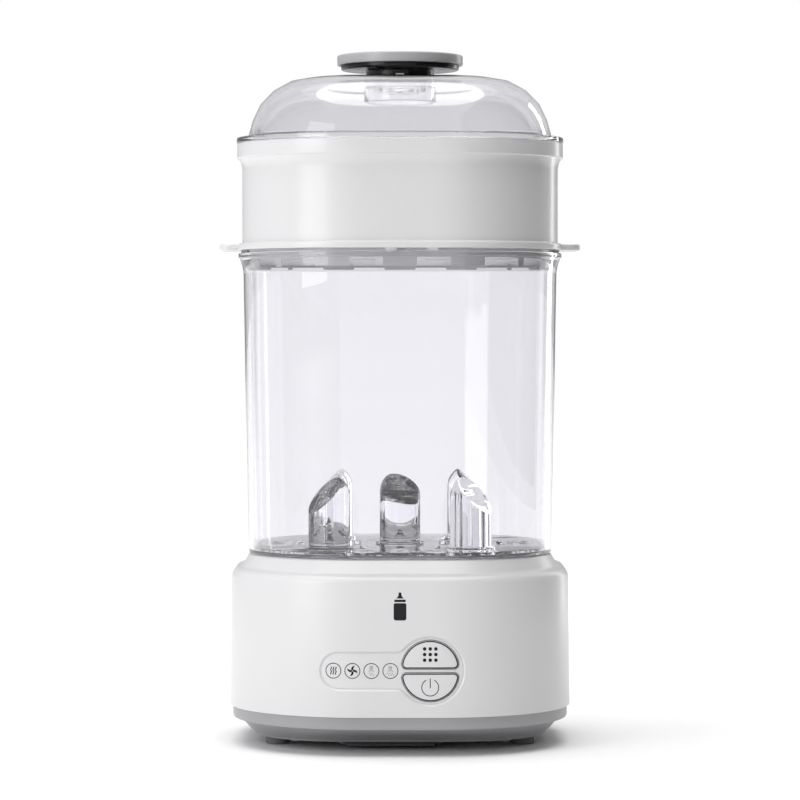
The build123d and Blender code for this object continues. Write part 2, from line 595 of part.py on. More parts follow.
def filter_cover():
    """Sliding intake grille under the filter, with a lip to pull it forward."""
    back_y = COVER_FRONT + COVER_LENGTH
    top_z = TUB_Z - SKIN_GAP
    body = block(COVER_LOW_X, COVER_HIGH_X, COVER_FRONT, back_y, COVER_Z, top_z)
    body += block(COVER_LOW_X - TONGUE, COVER_HIGH_X + TONGUE, COVER_FRONT + 6, back_y,
                  COVER_Z + 1.0 + SKIN_GAP, top_z)
    body -= block(COVER_LOW_X - 1, COVER_HIGH_X + 1, COVER_FRONT, COVER_FRONT + 1.2,
                  COVER_Z + 1.4, top_z)
    for i in range(9):
        y = COVER_FRONT + 8 + 4.2 * i
        body -= block(FAN_X - FILTER_HALF + 3, FAN_X + FILTER_HALF - 3, y, y + 2.0, COVER_Z, top_z)
    return body


def air_filter():
    """Pleated filter lying in the bay."""
    half = FILTER_HALF - 0.4
    body = filter_block(half, TUB_Z, TUB_Z + FILTER_THICK)
    count = 8
    pitch = 2 * half / count
    for i in range(count - 1):
        x = FAN_X - half + pitch * (i + 1)
        body -= block(x - 0.9, x + 0.9, FAN_Y - half + 1, FAN_Y + half - 1, TUB_Z + 1.2,
                      TUB_Z + FILTER_THICK)
    return body


# ---------------------------------------------------------------- controls
def panel_overlay():
    """Printed film in the recess, cut out round the buttons."""
    low_z, high_z = BUTTON_Z - 25, BUTTON_Z + 25
    film = wall_layer(PANEL_RECESS - PANEL_FILM, PANEL_RECESS, low_z, high_z)
    film &= panel_prism(panel_face(-0.15), -BASE_HALF - 1, -40)
    for upper in (True, False):
        film -= panel_prism(half_disc(upper, BUTTON_OUTLINE / 2), -BASE_HALF - 1, -80)
    return film


def button(upper):
    """D-shaped key with a flange behind the wall and a plunger for its switch."""
    low_z, high_z = BUTTON_Z - 25, BUTTON_Z + 25
    face = panel_prism(half_disc(upper, -BUTTON_OUTLINE / 2), -BASE_HALF - 1, -40)
    key = face & wall_layer(0.1, WALL + 1.6, low_z, high_z)
    rear = panel_prism(half_disc(upper, 1.2, -BUTTON_OUTLINE / 2), -BASE_HALF - 1, -40)
    key += rear & wall_layer(WALL + SKIN_GAP, WALL + 1.6, low_z, high_z)
    z = BUTTON_Z + (1 if upper else -1) * BUTTON_RADIUS * 0.5
    return key + rod_y(2.6, BUTTON_X, z, -BASE_HALF + WALL + 1.5, BOARD_FRONT_Y - 5.2)


def control_board():
    body = block(-44, 38, BOARD_FRONT_Y, BOARD_FRONT_Y + BOARD_THICK, BUTTON_Z - 18, BUTTON_Z + 18)
    for x in (-40, 34):
        for z in (BUTTON_Z - 14, BUTTON_Z + 14):
            body -= rod_y(1.5, x, z, BOARD_FRONT_Y, BOARD_FRONT_Y + BOARD_THICK)
    body += block(-20, -8, BOARD_FRONT_Y + BOARD_THICK, BOARD_FRONT_Y + BOARD_THICK + 1.4,
                  BUTTON_Z - 6, BUTTON_Z + 6)
    return body


def board_frame():
    """Bracket standing on the tub floor that holds the control board upright."""
    back_y = BOARD_FRONT_Y + BOARD_THICK
    body = block(-44, -36, back_y, back_y + 4, BAND_Z + WALL, BUTTON_Z + 18)
    body += block(30, 38, back_y, back_y + 4, BAND_Z + WALL, BUTTON_Z + 18)
    body += block(-44, 38, back_y, back_y + 4, BAND_Z + WALL, BAND_Z + WALL + 5)
    for x in (-40, 34):
        for z in (BUTTON_Z - 14, BUTTON_Z + 14):
            body -= rod_y(1.0, x, z, back_y, back_y + 4)
    return body


def board_screws():
    screws = []
    for x in (-40, 34):
        for z in (BUTTON_Z - 14, BUTTON_Z + 14):
            screws.append(rod_y(2.4, x, z, BOARD_FRONT_Y - 1.6, BOARD_FRONT_Y)
                          + rod_y(0.95, x, z, BOARD_FRONT_Y, BOARD_FRONT_Y + BOARD_THICK + 3.5))
    return group(screws)


def tact_switches():
    switches = []
    for side in (-1, 1):
        z = BUTTON_Z + side * BUTTON_RADIUS * 0.5
        body = block(BUTTON_X - 3, BUTTON_X + 3, BOARD_FRONT_Y - 3.5, BOARD_FRONT_Y, z - 3, z + 3)
        body = fillet(body.edges().filter_by(Axis.Y), 0.4)
        switches.append(body + rod_y(1.75, BUTTON_X, z, BOARD_FRONT_Y - 4.3, BOARD_FRONT_Y - 3.5))
    return group(switches)


def indicator_leds():
    return group([block(x - 1.6, x + 1.6, BOARD_FRONT_Y - 1.8, BOARD_FRONT_Y, BUTTON_Z - 1.4,
                        BUTTON_Z + 1.4) for x in LAMPS])


def light_guides():
    """Clear rods that carry each lamp's light to the thinned wall."""
    guides = []
    for x in LAMPS:
        rod = rod_y(LAMP_RADIUS, x, BUTTON_Z, -BASE_HALF, BOARD_FRONT_Y - 2.0)
        guides.append(rod & wall_body(1.9))
    return group(guides)


def power_board():
    low_x, high_x, low_y, high_y = POWER_BOARD
    body = block(low_x, high_x, low_y, high_y, POWER_BOARD_Z, POWER_BOARD_Z + BOARD_THICK)
    for x in (low_x + 3, high_x - 3):
        for y in (low_y + 3, high_y - 3):
            body -= disc(1.3, POWER_BOARD_Z, POWER_BOARD_Z + BOARD_THICK, x, y)
    return body


def power_board_screws():
    low_x, high_x, low_y, high_y = POWER_BOARD
    top_z = POWER_BOARD_Z + BOARD_THICK
    return group([disc(2.3, top_z, top_z + 1.5, x, y) + disc(1.05, top_z - 6, top_z, x, y)
                  for x in (low_x + 3, high_x - 3) for y in (low_y + 3, high_y - 3)])


def transformer():
    low_x, _, low_y, _ = POWER_BOARD
    z = POWER_BOARD_Z + BOARD_THICK
    x, y = low_x + 20, low_y + 20
    core = block(x - 12, x + 12, y - 5, y + 5, z, z + 20)
    coil = fillet(block(x - 7, x + 7, y - 10, y + 10, z + 2, z + 18).edges().filter_by(Axis.Z), 3)
    return core + coil


def heater_relay():
    low_x, _, low_y, _ = POWER_BOARD
    z = POWER_BOARD_Z + BOARD_THICK
    body = block(low_x + 24, low_x + 39, low_y + 36, low_y + 55, z, z + 15.5)
    return fillet(body.edges().group_by(Axis.Z)[-1], 0.8)


def capacitor():
    low_x, _, low_y, _ = POWER_BOARD
    z = POWER_BOARD_Z + BOARD_THICK
    body = disc(6.3, z, z + 20, low_x + 11, low_y + 42)
    return fillet(body.edges().group_by(Axis.Z)[-1], 1)


def terminal_block():
    low_x, _, low_y, _ = POWER_BOARD
    z = POWER_BOARD_Z + BOARD_THICK
    body = block(low_x + 7, low_x + 22, low_y + 53, low_y + 63, z, z + 11)
    for i in range(3):
        body -= disc(1.7, z + 5, z + 11, low_x + 10 + 4.6 * i, low_y + 56.5)
    return body


def wire(points, radius, bend):
    """Insulated lead along straight runs joined by arcs."""
    path = FilletPolyline(*points, radius=bend)
    section = Plane(origin=path @ 0, z_dir=path % 0) * Circle(radius)
    return sweep(section, path=path)


def heater_leads():
    """Two leads from the power board up to the heating ring's terminals."""
    low_x, _, low_y, _ = POWER_BOARD
    board_z = POWER_BOARD_Z + BOARD_THICK
    pin_z = STRAP_Z - 8
    leads = []
    for i, pin_x in enumerate((-8.0, 8.0)):
        x = low_x + 27 + 8 * i
        y = low_y + 61.0
        turn_z = pin_z - 8 - 4 * i
        leads.append(wire([(x, y, board_z), (x, y, turn_z), (pin_x, PLATE_Y + 37.5, turn_z),
                           (pin_x, PLATE_Y + 37.5, pin_z)], 1.1, 3.5))
    return group(leads)


def panel_harness():
    """Bundle of low-voltage leads from the control board to the power board."""
    start_y = BOARD_FRONT_Y + BOARD_THICK
    low_x, _, low_y, _ = POWER_BOARD
    end = (low_x + 10, low_y + 4)
    points = [(22, start_y, BUTTON_Z), (22, start_y + 20, BUTTON_Z), (*end, BUTTON_Z),
              (*end, POWER_BOARD_Z + BOARD_THICK)]
    return wire(points, 2.2, 8)


# ---------------------------------------------------------------- chamber
def bottle_chamber():
    """Clear chamber: drafted wall, rim above, floor ledge and a skirt that sits in the collar."""
    body = frustum(CHAMBER_FOOT_HALF, COLLAR_Z, CHAMBER_TOP_HALF, RIM_Z)
    skirt_half = SEAT_HALF - SLIDE_GAP
    body += column(RIM_HALF, RIM_Z, RIM_TOP_Z)
    body += frustum(CHAMBER_TOP_HALF - 0.2, RIM_Z - 6.0, RIM_HALF - 0.6, RIM_Z)
    body -= frustum(CHAMBER_FOOT_HALF - CLEAR_WALL, RACK_Z,
                    CHAMBER_TOP_HALF - CLEAR_WALL, RIM_TOP_Z)
    body += column(skirt_half, COLLAR_Z - SKIRT_DEPTH, COLLAR_Z)
    body -= column(skirt_half - 2.0, COLLAR_Z - SKIRT_DEPTH, COLLAR_Z)
    body -= column(CHAMBER_LEDGE_HALF, COLLAR_Z, RACK_Z)
    return body


def peg(x, y, turn):
    """Hollow bottle peg with a domed top and a slanted mouth that faces along turn."""
    straight = PEG_HEIGHT - PEG_RADIUS
    outer = disc(PEG_RADIUS, 0, straight) + Pos(0, 0, straight) * Sphere(PEG_RADIUS)
    inner_radius = PEG_RADIUS - PEG_WALL
    inner = disc(inner_radius, -RACK_FLOOR, straight) + Pos(0, 0, straight) * Sphere(inner_radius)
    foot = disc(PEG_RADIUS + 2.2, 0, 1.2)
    body = outer & disc(PEG_RADIUS + 1, 0, PEG_HEIGHT + 1)
    cutter = Pos(PEG_RADIUS, 0, PEG_CUT_START) * Rot(0, PEG_CUT_ANGLE, 0)
    cutter = cutter * Pos(0, 0, 30) * Box(80, 40, 60)
    body = body + foot - inner - cutter
    return Pos(x, y, RACK_TOP_Z) * Rot(0, 0, turn) * body


PEGS = [(-PEG_X, -PEG_Y, 197.0), (-PEG_X, PEG_Y, 163.0), (PEG_X, -PEG_Y, -17.0),
        (PEG_X, PEG_Y, 17.0), (0.0, 0.0, 60.0)]


def bottle_rack():
    """Clear grate with five pegs that lies on the chamber's ledge."""
    half = CHAMBER_FOOT_HALF - CLEAR_WALL - SLIDE_GAP
    body = column(half, RACK_Z, RACK_TOP_Z)
    for x, y, turn in PEGS:
        body -= disc(PEG_RADIUS - PEG_WALL, RACK_Z, RACK_TOP_Z, x, y)
    # drain slots along the four sides and across the middle
    for side_x in (-1, 1):
        for offset in (-9, 0, 9):
            body -= block(min(side_x * 60, side_x * 72), max(side_x * 60, side_x * 72),
                          offset - 2, offset + 2, RACK_Z, RACK_TOP_Z)
    for side_y in (-1, 1):
        for x in (-19, 0, 19):
            for y in (62, 68):
                body -= block(x - 6, x + 6, side_y * y - 1.4, side_y * y + 1.4, RACK_Z, RACK_TOP_Z)
        for x in (-20, 0, 20):
            body -= block(x - 2, x + 2, side_y * 38 - 12, side_y * 38 + 12, RACK_Z, RACK_TOP_Z)
    for x in (-56, -40, -24, 24, 40, 56):
        body -= block(x - 2, x + 2, -17, 17, RACK_Z, RACK_TOP_Z)
    for x, y, turn in PEGS:
        body += peg(x, y, turn)
    return body


# ---------------------------------------------------------------- tray
def upper_tray():
    """White upper basket: flange with two finger tabs, slotted floor, rim and locating skirt."""
    body = column(RIM_HALF, TRAY_Z, TRAY_Z + TRAY_FLANGE)
    tab = block(-TAB_REACH, TAB_REACH, -TAB_WIDTH / 2, TAB_WIDTH / 2, TRAY_Z, TRAY_Z + TAB_THICK)
    body += fillet(tab.edges().filter_by(Axis.Z), 6)
    body += column(TRAY_HALF, TRAY_Z, TRAY_TOP_Z)
    rim_z = TRAY_TOP_Z - TRAY_RIM_HEIGHT
    body += frustum(TRAY_HALF, rim_z - 4.5, TRAY_HALF + 1.6, rim_z)
    body += column(TRAY_RIM_HALF, rim_z, TRAY_TOP_Z)
    skirt_half = CHAMBER_TOP_HALF - CLEAR_WALL - SLIDE_GAP - 0.4
    skirt = column(skirt_half, TRAY_Z - TRAY_SKIRT_DEPTH, TRAY_Z)
    skirt -= column(skirt_half - 2.0, TRAY_Z - TRAY_SKIRT_DEPTH, TRAY_Z)
    # the skirt is notched so that steam passes
    for x in (-54, -18, 18, 54):
        skirt -= block(x - 9, x + 9, -100, 100, TRAY_Z - TRAY_SKIRT_DEPTH, TRAY_Z - 4)
        skirt -= block(-100, 100, x - 9, x + 9, TRAY_Z - TRAY_SKIRT_DEPTH, TRAY_Z - 4)
    body += skirt
    body -= column(TRAY_INNER_HALF, TRAY_Z + WALL, TRAY_TOP_Z)
    # nubs that hold the flange off the chamber's rim
    nub_out, nub_in = RIM_HALF - 0.6, skirt_half + 1.6
    for x in (-5, 17.5):
        for side in (-1, 1):
            low_y, high_y = sorted((side * nub_in, side * (nub_out - 0.6)))
            body += block(x - 3, x + 3, low_y, high_y, RIM_TOP_Z, TRAY_Z)
    for side in (-1, 1):
        low_x, high_x = sorted((side * nub_in, side * (nub_out - 0.6)))
        body += block(low_x, high_x, -16, 16, RIM_TOP_Z, TRAY_Z)
    # steam slots in the floor
    for row in range(-3, 4):
        for column_index in range(-3, 4):
            if abs(row) + abs(column_index) < 6:
                x, y = column_index * 20, row * 20
                body -= block(x - 7, x + 7, y - 2, y + 2, TRAY_Z, TRAY_Z + WALL)
    return body


# ---------------------------------------------------------------- lid
def dome_body(inset):
    """Solid inside the dome's outer face, moved in by inset."""
    lean = math.tan(math.radians(LID_TAPER))
    top_z = DOME_TOP_Z - inset
    low = LID_HALF - inset / math.cos(math.radians(LID_TAPER))
    high = low - (top_z - DOME_Z) * lean
    body = frustum(low, DOME_Z, high, top_z)
    crown = [e for e in body.edges() if abs(e.center().Z - top_z) < 0.01
             and e.bounding_box().size.Z < 0.01]
    return fillet(crown, LID_ROUNDING - inset)


def lid_dome():
    """Clear lid: dome, flange on the tray's rim, locating skirt and drip ring round the vent."""
    body = dome_body(0) + column(LID_FLANGE_HALF, LID_Z, DOME_Z)
    boss = disc(LID_BOSS_RADIUS, DOME_TOP_Z - 1, DOME_TOP_Z + LID_BOSS)
    body += boss - disc(STEM_RADIUS + SLIDE_GAP, DOME_TOP_Z - 1, DOME_TOP_Z + LID_BOSS)
    skirt_half = TRAY_INNER_HALF - SLIDE_GAP
    body += column(skirt_half, LID_Z - LID_SKIRT_DEPTH, LID_Z)
    body -= dome_body(CLEAR_WALL)
    body -= column(LID_HALF - CLEAR_WALL - 0.1, LID_Z - LID_SKIRT_DEPTH, DOME_Z)
    body -= disc(LID_RECESS_RADIUS, DOME_TOP_Z - CLEAR_WALL - 1,
                 DOME_TOP_Z - CLEAR_WALL + LID_STEP)
    ring = disc(DRIP_RING_RADIUS, DOME_TOP_Z - CLEAR_WALL - DRIP_RING_DEPTH,
                DOME_TOP_Z - CLEAR_WALL + LID_STEP)
    body += ring - disc(DRIP_RING_RADIUS - 1.8, DOME_TOP_Z - CLEAR_WALL - DRIP_RING_DEPTH,
                        DOME_TOP_Z - CLEAR_WALL + LID_STEP)
    # steam holes under the knob and the knob's screw holes
    for i in range(6):
        angle = math.radians(30 + 60 * i)
        body -= disc(2.0, DOME_TOP_Z - 4, DOME_TOP_Z + 1, 7 * math.cos(angle), 7 * math.sin(angle))
    for x in (-KNOB_SCREW_X, KNOB_SCREW_X):
        body -= disc(1.6, DOME_TOP_Z - 4, DOME_TOP_Z + 1, x, 0)
    return body


def knob_stem():
    """Black hollow stem and finger disc, with see-through steam slots."""
    body = disc(STEM_RADIUS, DOME_TOP_Z, STEM_TOP_Z) + disc(GRIP_RADIUS, STEM_TOP_Z, CAP_Z)
    edge = [e for e in body.edges().filter_by(GeomType.CIRCLE)
            if abs(e.radius - GRIP_RADIUS) < 0.01 and abs(e.center().Z - STEM_TOP_Z) < 0.01]
    body = fillet(edge, 1.2)
    body -= disc(STEM_RADIUS - 2.4, DOME_TOP_Z, STEM_TOP_Z)
    for x in (-KNOB_SCREW_X, KNOB_SCREW_X):
        body += disc(3.2, DOME_TOP_Z, STEM_TOP_Z, x, 0)
        body -= disc(1.2, DOME_TOP_Z, STEM_TOP_Z + 1.5, x, 0)
    width, height = VENT_SLOT
    for z in (DOME_TOP_Z + 1.1, DOME_TOP_Z + 2.9):
        body -= block(-width / 2, width / 2, -STEM_RADIUS - 1, STEM_RADIUS + 1, z, z + height)
    body -= block(-9.2, -8.2, -STEM_RADIUS - 1, -STEM_RADIUS + 1.0, DOME_TOP_Z, DOME_TOP_Z + 1.6)
    return body


def knob_cap():
    """Grey cap snapped over the finger disc."""
    body = disc(CAP_RADIUS, CAP_Z - 0.6, CAP_Z + CAP_HEIGHT)
    body = fillet(body.edges().group_by(Axis.Z)[-1], 1.0)
    body = fillet(body.edges().group_by(Axis.Z)[0], 0.5)
    return body - disc(GRIP_RADIUS, CAP_Z - 0.6, CAP_Z)


def knob_screws():
    low_z = DOME_TOP_Z - CLEAR_WALL + LID_STEP
    return group([disc(2.6, low_z - 1.6, low_z, x, 0) + disc(1.15, low_z, low_z + 7, x, 0)
                  for x in (-KNOB_SCREW_X, KNOB_SCREW_X)])


PIECES = {
    "base_housing": base_housing,
    "bottom_cover": bottom_cover,
    "rubber_feet": rubber_feet,
    "bottom_screws": bottom_screws,
    "cord_gland": cord_gland,
    "heating_plate": heating_plate,
    "plate_seal": plate_seal,
    "heating_ring": heating_ring,
    "thermostat": thermostat,
    "thermal_fuse": thermal_fuse,
    "clamp_strap": clamp_strap,
    "strap_screws": strap_screws,
    "air_outlet": air_outlet,
    "air_duct": air_duct,
    "ptc_heater": ptc_heater,
    "fan_housing": fan_housing,
    "fan_impeller": fan_impeller,
    "motor_shaft": motor_shaft,
    "fan_motor": fan_motor,
    "filter_cover": filter_cover,
    "air_filter": air_filter,
    "panel_overlay": panel_overlay,
    "mode_button": lambda: button(True),
    "power_button": lambda: button(False),
    "control_board": control_board,
    "board_frame": board_frame,
    "board_screws": board_screws,
    "tact_switches": tact_switches,
    "indicator_leds": indicator_leds,
    "light_guides": light_guides,
    "power_board": power_board,
    "power_board_screws": power_board_screws,
    "transformer": transformer,
    "heater_relay": heater_relay,
    "capacitor": capacitor,
    "terminal_block": terminal_block,
    "heater_leads": heater_leads,
    "panel_harness": panel_harness,
    "bottle_chamber": bottle_chamber,
    "bottle_rack": bottle_rack,
    "upper_tray": upper_tray,
    "lid_dome": lid_dome,
    "knob_stem": knob_stem,
    "knob_cap": knob_cap,
    "knob_screws": knob_screws,
}

for piece_name, make in PIECES.items():
    save(make(), piece_name)
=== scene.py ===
import functools
import json
import math

import bmesh
import bpy
from bpy.props import FloatProperty, FloatVectorProperty, IntProperty, PointerProperty
from mathutils import Matrix, Vector


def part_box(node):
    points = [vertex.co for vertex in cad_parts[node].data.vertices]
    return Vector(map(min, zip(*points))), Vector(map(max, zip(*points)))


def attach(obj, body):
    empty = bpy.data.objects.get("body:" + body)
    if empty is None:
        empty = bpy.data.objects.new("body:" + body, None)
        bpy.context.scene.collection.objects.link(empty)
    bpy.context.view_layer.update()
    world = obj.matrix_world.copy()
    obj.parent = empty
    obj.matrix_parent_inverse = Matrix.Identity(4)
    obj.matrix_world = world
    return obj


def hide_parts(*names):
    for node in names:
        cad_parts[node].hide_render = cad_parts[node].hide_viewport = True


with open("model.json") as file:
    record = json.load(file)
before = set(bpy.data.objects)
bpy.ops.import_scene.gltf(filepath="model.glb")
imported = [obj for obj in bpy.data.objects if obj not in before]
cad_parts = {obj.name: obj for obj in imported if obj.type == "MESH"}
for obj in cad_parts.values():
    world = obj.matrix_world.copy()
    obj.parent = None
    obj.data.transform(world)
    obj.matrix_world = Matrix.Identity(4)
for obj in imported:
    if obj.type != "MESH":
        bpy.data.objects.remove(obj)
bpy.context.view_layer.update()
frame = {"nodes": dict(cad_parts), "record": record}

bl_info = {
    "name": "Bottle Sterilizer",
    "version": (1, 0, 0),
    "blender": (4, 5, 0),
    "location": "3D View > Sidebar > Sterilizer",
    "description": "Models a countertop sterilizer for feeding bottles round its engineering frame",
    "category": "Object",
}

MM = 0.001
HAIR = 0.03 * MM            # gap that keeps touching faces of different pieces apart


# ---------------------------------------------------------------- sizes and colours
def length(name, text, millimetres):
    return FloatProperty(name=name, description=text, default=millimetres * MM, min=0.0,
                         unit="LENGTH", precision=5)


def colour(name, text, *values):
    return FloatVectorProperty(name=name, description=text, default=values, size=3, min=0.0,
                               max=1.0, subtype="COLOR")


class STERILIZER_PG_sizes(bpy.types.PropertyGroup):
    """Sizes that aren't read from the frame."""

    flat: length("Flat", "Half length of the flat part of every side", 19.0)
    wall: length("Wall", "Wall of the moulded plastic parts", 2.6)
    clear_wall: length("Clear wall", "Wall of the clear parts", 2.4)
    shoulder: length("Shoulder", "Rounding between the housing wall and its collar", 4.2)
    shoulder_rise: length("Shoulder rise", "Height of the rounding above the wall", 4.4)
    collar_lean: length("Collar lean", "How far the collar leans in above the shoulder", 4.6)
    collar: length("Collar", "Height of the sloping collar", 12.9)
    collar_inset: length("Collar inset", "How far the collar leans in", 10.0)
    draft: length("Draft", "How far the housing wall leans in", 1.0)
    deck_depth: length("Deck depth", "Collar top to the deck", 12.0)
    slide_gap: length("Slide gap", "Clearance of the parts that lift off", 0.6)
    dish_lip: length("Dish lip", "Width of the water dish's rim that rests on the deck", 4.9)
    pocket: length("Recess", "Depth of the panel recess", 0.9)
    pocket_slope: length("Recess slope", "Width of the recess's sloping edge", 1.2)
    film: length("Film", "Thickness of the panel film", 0.3)
    film_trim: length("Film trim", "Gap round the panel film", 0.15)
    strip_half: length("Strip", "Half height of the lamp strip", 9.6)
    strip_bend: length("Strip bend", "Rounding where the strip meets the ring", 6.0)
    key_radius: length("Key radius", "Outer radius of the two keys", 15.6)
    key_corner: length("Key corner", "Rounding of the keys' corners", 2.7)
    key_split: length("Key split", "Distance between the two keys", 1.8)
    key_line: length("Key line", "Gap round each key", 0.45)
    key_set: length("Key set", "How far a key's face lies below the wall", 0.1)
    tub_x: length("Tub width", "Half width of the tub's foot", 81.0)
    tub_y: length("Tub depth", "Half depth of the tub's foot", 61.0)
    tub_corner: length("Tub corner", "Corner radius of the tub's foot", 50.0)
    corner_steps: IntProperty(name="Corner steps", description="Facets in each corner arc",
                              default=32, min=4, max=64)


class STERILIZER_PG_colours(bpy.types.PropertyGroup):
    """Colours of the finishes."""

    white: colour("White plastic", "Housing, keys and tray", 0.67, 0.67, 0.675)
    grey: colour("Grey plastic", "Tub, band and knob cap", 0.34, 0.34, 0.35)
    dark: colour("Dark plastic", "Filter cover and hidden mouldings", 0.06, 0.06, 0.064)
    black: colour("Gloss black", "Knob stem", 0.006, 0.006, 0.007)
    clear: colour("Clear plastic", "Chamber and lid", 0.885, 0.882, 0.904)
    thin_clear: colour("Thin clear plastic", "The rack", 0.96, 0.958, 0.972)
    ink: colour("Ink", "Printed symbols", 0.02, 0.02, 0.022)


def sizes():
    return bpy.context.scene.sterilizer_sizes


def colours():
    return bpy.context.scene.sterilizer_colours


# ---------------------------------------------------------------- mesh helpers
def verts_of(geometry):
    return [item for item in geometry if isinstance(item, bmesh.types.BMVert)]


def edges_between(verts):
    """Edges whose two ends are both in verts."""
    chosen = set(verts)
    return list({edge for vert in chosen for edge in vert.link_edges
                 if edge.other_vert(vert) in chosen})


def draw_profile(points, closed):
    """New bmesh with a wire through (across, up, rounding) points, its corners rounded."""
    bm = bmesh.new()
    verts = [bm.verts.new((across, 0, up)) for across, up, _ in points]
    pairs = zip(verts, verts[1:] + verts[:1] if closed else verts[1:])
    for pair in pairs:
        bm.edges.new(pair)
    for vert, (_, _, rounding) in zip(verts, points):
        if rounding > 0:
            bmesh.ops.bevel(bm, geom=[vert], offset=rounding, offset_type="OFFSET", segments=4,
                            profile=0.5, affect="VERTICES", material=-1)
    return bm


def sweep_square(points, closed=True):
    """Takes a profile of (half width, height, rounding) round the shared rounded square."""
    bm = draw_profile(points, closed)
    flat, steps = sizes().flat, sizes().corner_steps
    bmesh.ops.translate(bm, verts=bm.verts, vec=(0, -flat, 0))
    verts = list(bm.verts)
    for side in range(4):
        turn = Matrix.Rotation(side * math.pi / 2, 3, "Z")
        edges = edges_between(verts)
        out = bmesh.ops.extrude_edge_only(bm, edges=edges)
        verts = verts_of(out["geom"])
        bmesh.ops.translate(bm, verts=verts, vec=turn @ Vector((0, 2 * flat, 0)))
        out = bmesh.ops.spin(bm, geom=verts + edges_between(verts),
                             cent=turn @ Vector((flat, flat, 0)), axis=(0, 0, 1),
                             angle=math.pi / 2, steps=steps)
        verts = verts_of(out["geom_last"])
    bmesh.ops.remove_doubles(bm, verts=bm.verts, dist=1e-6)
    return bm


def sweep_round(points, steps=64, centre=(0, 0)):
    """Takes a profile of (radius, height, rounding) round an upright axis."""
    bm = draw_profile(points, closed=True)
    bmesh.ops.spin(bm, geom=list(bm.verts) + list(bm.edges), cent=(0, 0, 0), axis=(0, 0, 1),
                   angle=2 * math.pi, steps=steps, use_merge=True)
    bmesh.ops.remove_doubles(bm, verts=bm.verts, dist=1e-6)
    bmesh.ops.translate(bm, verts=bm.verts, vec=(*centre, 0))
    return bm


def cap_holes(bm):
    """Fills every open loop with one flat face."""
    edges = [edge for edge in bm.edges if edge.is_boundary]
    bmesh.ops.holes_fill(bm, edges=edges, sides=0)
    return bm


def box_mesh(low, high):
    bm = bmesh.new()
    middle = (Vector(low) + Vector(high)) / 2
    size = Vector(high) - Vector(low)
    matrix = Matrix.Translation(middle) @ Matrix.Diagonal((*size, 1))
    bmesh.ops.create_cube(bm, size=1, matrix=matrix)
    return bm


def drum(radius, low, high, centre=(0, 0), steps=48):
    """Upright closed cylinder."""
    bm = bmesh.new()
    matrix = Matrix.Translation((*centre, (low + high) / 2))
    bmesh.ops.create_cone(bm, cap_ends=True, segments=steps, radius1=radius, radius2=radius,
                          depth=high - low, matrix=matrix)
    return bm


def join(bm, *others):
    """Adds the other bmeshes to the first and frees them."""
    for other in others:
        mesh = bpy.data.meshes.new("joined")
        other.to_mesh(mesh)
        bm.from_mesh(mesh)
        bpy.data.meshes.remove(mesh)
        other.free()
    return bm


def combine(bm, operation, *cutters):
    """Exact boolean of one closed bmesh with others, as a new bmesh."""
    objects = []
    for shape in (bm, *cutters):
        bmesh.ops.recalc_face_normals(shape, faces=shape.faces)
        mesh = bpy.data.meshes.new("shape")
        shape.to_mesh(mesh)
        shape.free()
        obj = bpy.data.objects.new("shape", mesh)
        bpy.context.scene.collection.objects.link(obj)
        objects.append(obj)
    for cutter in objects[1:]:
        modifier = objects[0].modifiers.new("cut", "BOOLEAN")
        modifier.operation = operation
        modifier.solver = "EXACT"
        modifier.object = cutter
    depsgraph = bpy.context.evaluated_depsgraph_get()
    result = bmesh.new()
    result.from_object(objects[0], depsgraph)
    for obj in objects:
        mesh = obj.data
        bpy.data.objects.remove(obj)
        bpy.data.meshes.remove(mesh)
    bmesh.ops.remove_doubles(result, verts=result.verts, dist=2e-6)
    return result


def soften(bm, offset, angle=40, segments=2):
    """Bevels every edge sharper than angle."""
    limit = math.radians(angle)
    sharp = [edge for edge in bm.edges if edge.is_manifold and edge.calc_face_angle(0) > limit]
    bmesh.ops.bevel(bm, geom=sharp, offset=offset, offset_type="OFFSET", segments=segments,
                    profile=0.5, affect="EDGES", clamp_overlap=True, material=-1)
    return bm


def make_piece(name, bm, body, material, replaced=(), angle=35, outward=True):
    """Turns a bmesh into a smooth-shaded object that rides on a body."""
    if outward:
        bmesh.ops.recalc_face_normals(bm, faces=bm.faces)
    mesh = bpy.data.meshes.new(name)
    bm.to_mesh(mesh)
    bm.free()
    mesh.polygons.foreach_set("use_smooth", [True] * len(mesh.polygons))
    mesh.set_sharp_from_angle(angle=math.radians(angle))
    mesh.materials.append(material)
    obj = bpy.data.objects.new(name, mesh)
    bpy.context.scene.collection.objects.link(obj)
    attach(obj, body)
    if replaced:
        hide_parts(*replaced)
    return obj


# ---------------------------------------------------------------- materials
def new_material(name, base, roughness):
    """Material with a Principled shader; returns it with its tree, shader and coordinates."""
    material = bpy.data.materials.new(name)
    material.use_nodes = True
    tree = material.node_tree
    shader = tree.nodes["Principled BSDF"]
    shader.inputs["Base Color"].default_value = (*base, 1)
    shader.inputs["Roughness"].default_value = roughness
    place = tree.nodes.new("ShaderNodeTexCoord")
    return material, tree, shader, place.outputs["Object"]


def noise(tree, coordinates, scale, detail=3.0, roughness=0.5):
    node = tree.nodes.new("ShaderNodeTexNoise")
    node.inputs["Scale"].default_value = scale
    node.inputs["Detail"].default_value = detail
    node.inputs["Roughness"].default_value = roughness
    tree.links.new(coordinates, node.inputs["Vector"])
    return node.outputs["Fac"]


def vary(tree, value, low, high, socket):
    """Drives a number socket between low and high with a 0 to 1 value."""
    node = tree.nodes.new("ShaderNodeMapRange")
    node.inputs["From Min"].default_value = 0.3
    node.inputs["From Max"].default_value = 0.7
    node.inputs["To Min"].default_value = low
    node.inputs["To Max"].default_value = high
    tree.links.new(value, node.inputs["Value"])
    tree.links.new(node.outputs["Result"], socket)


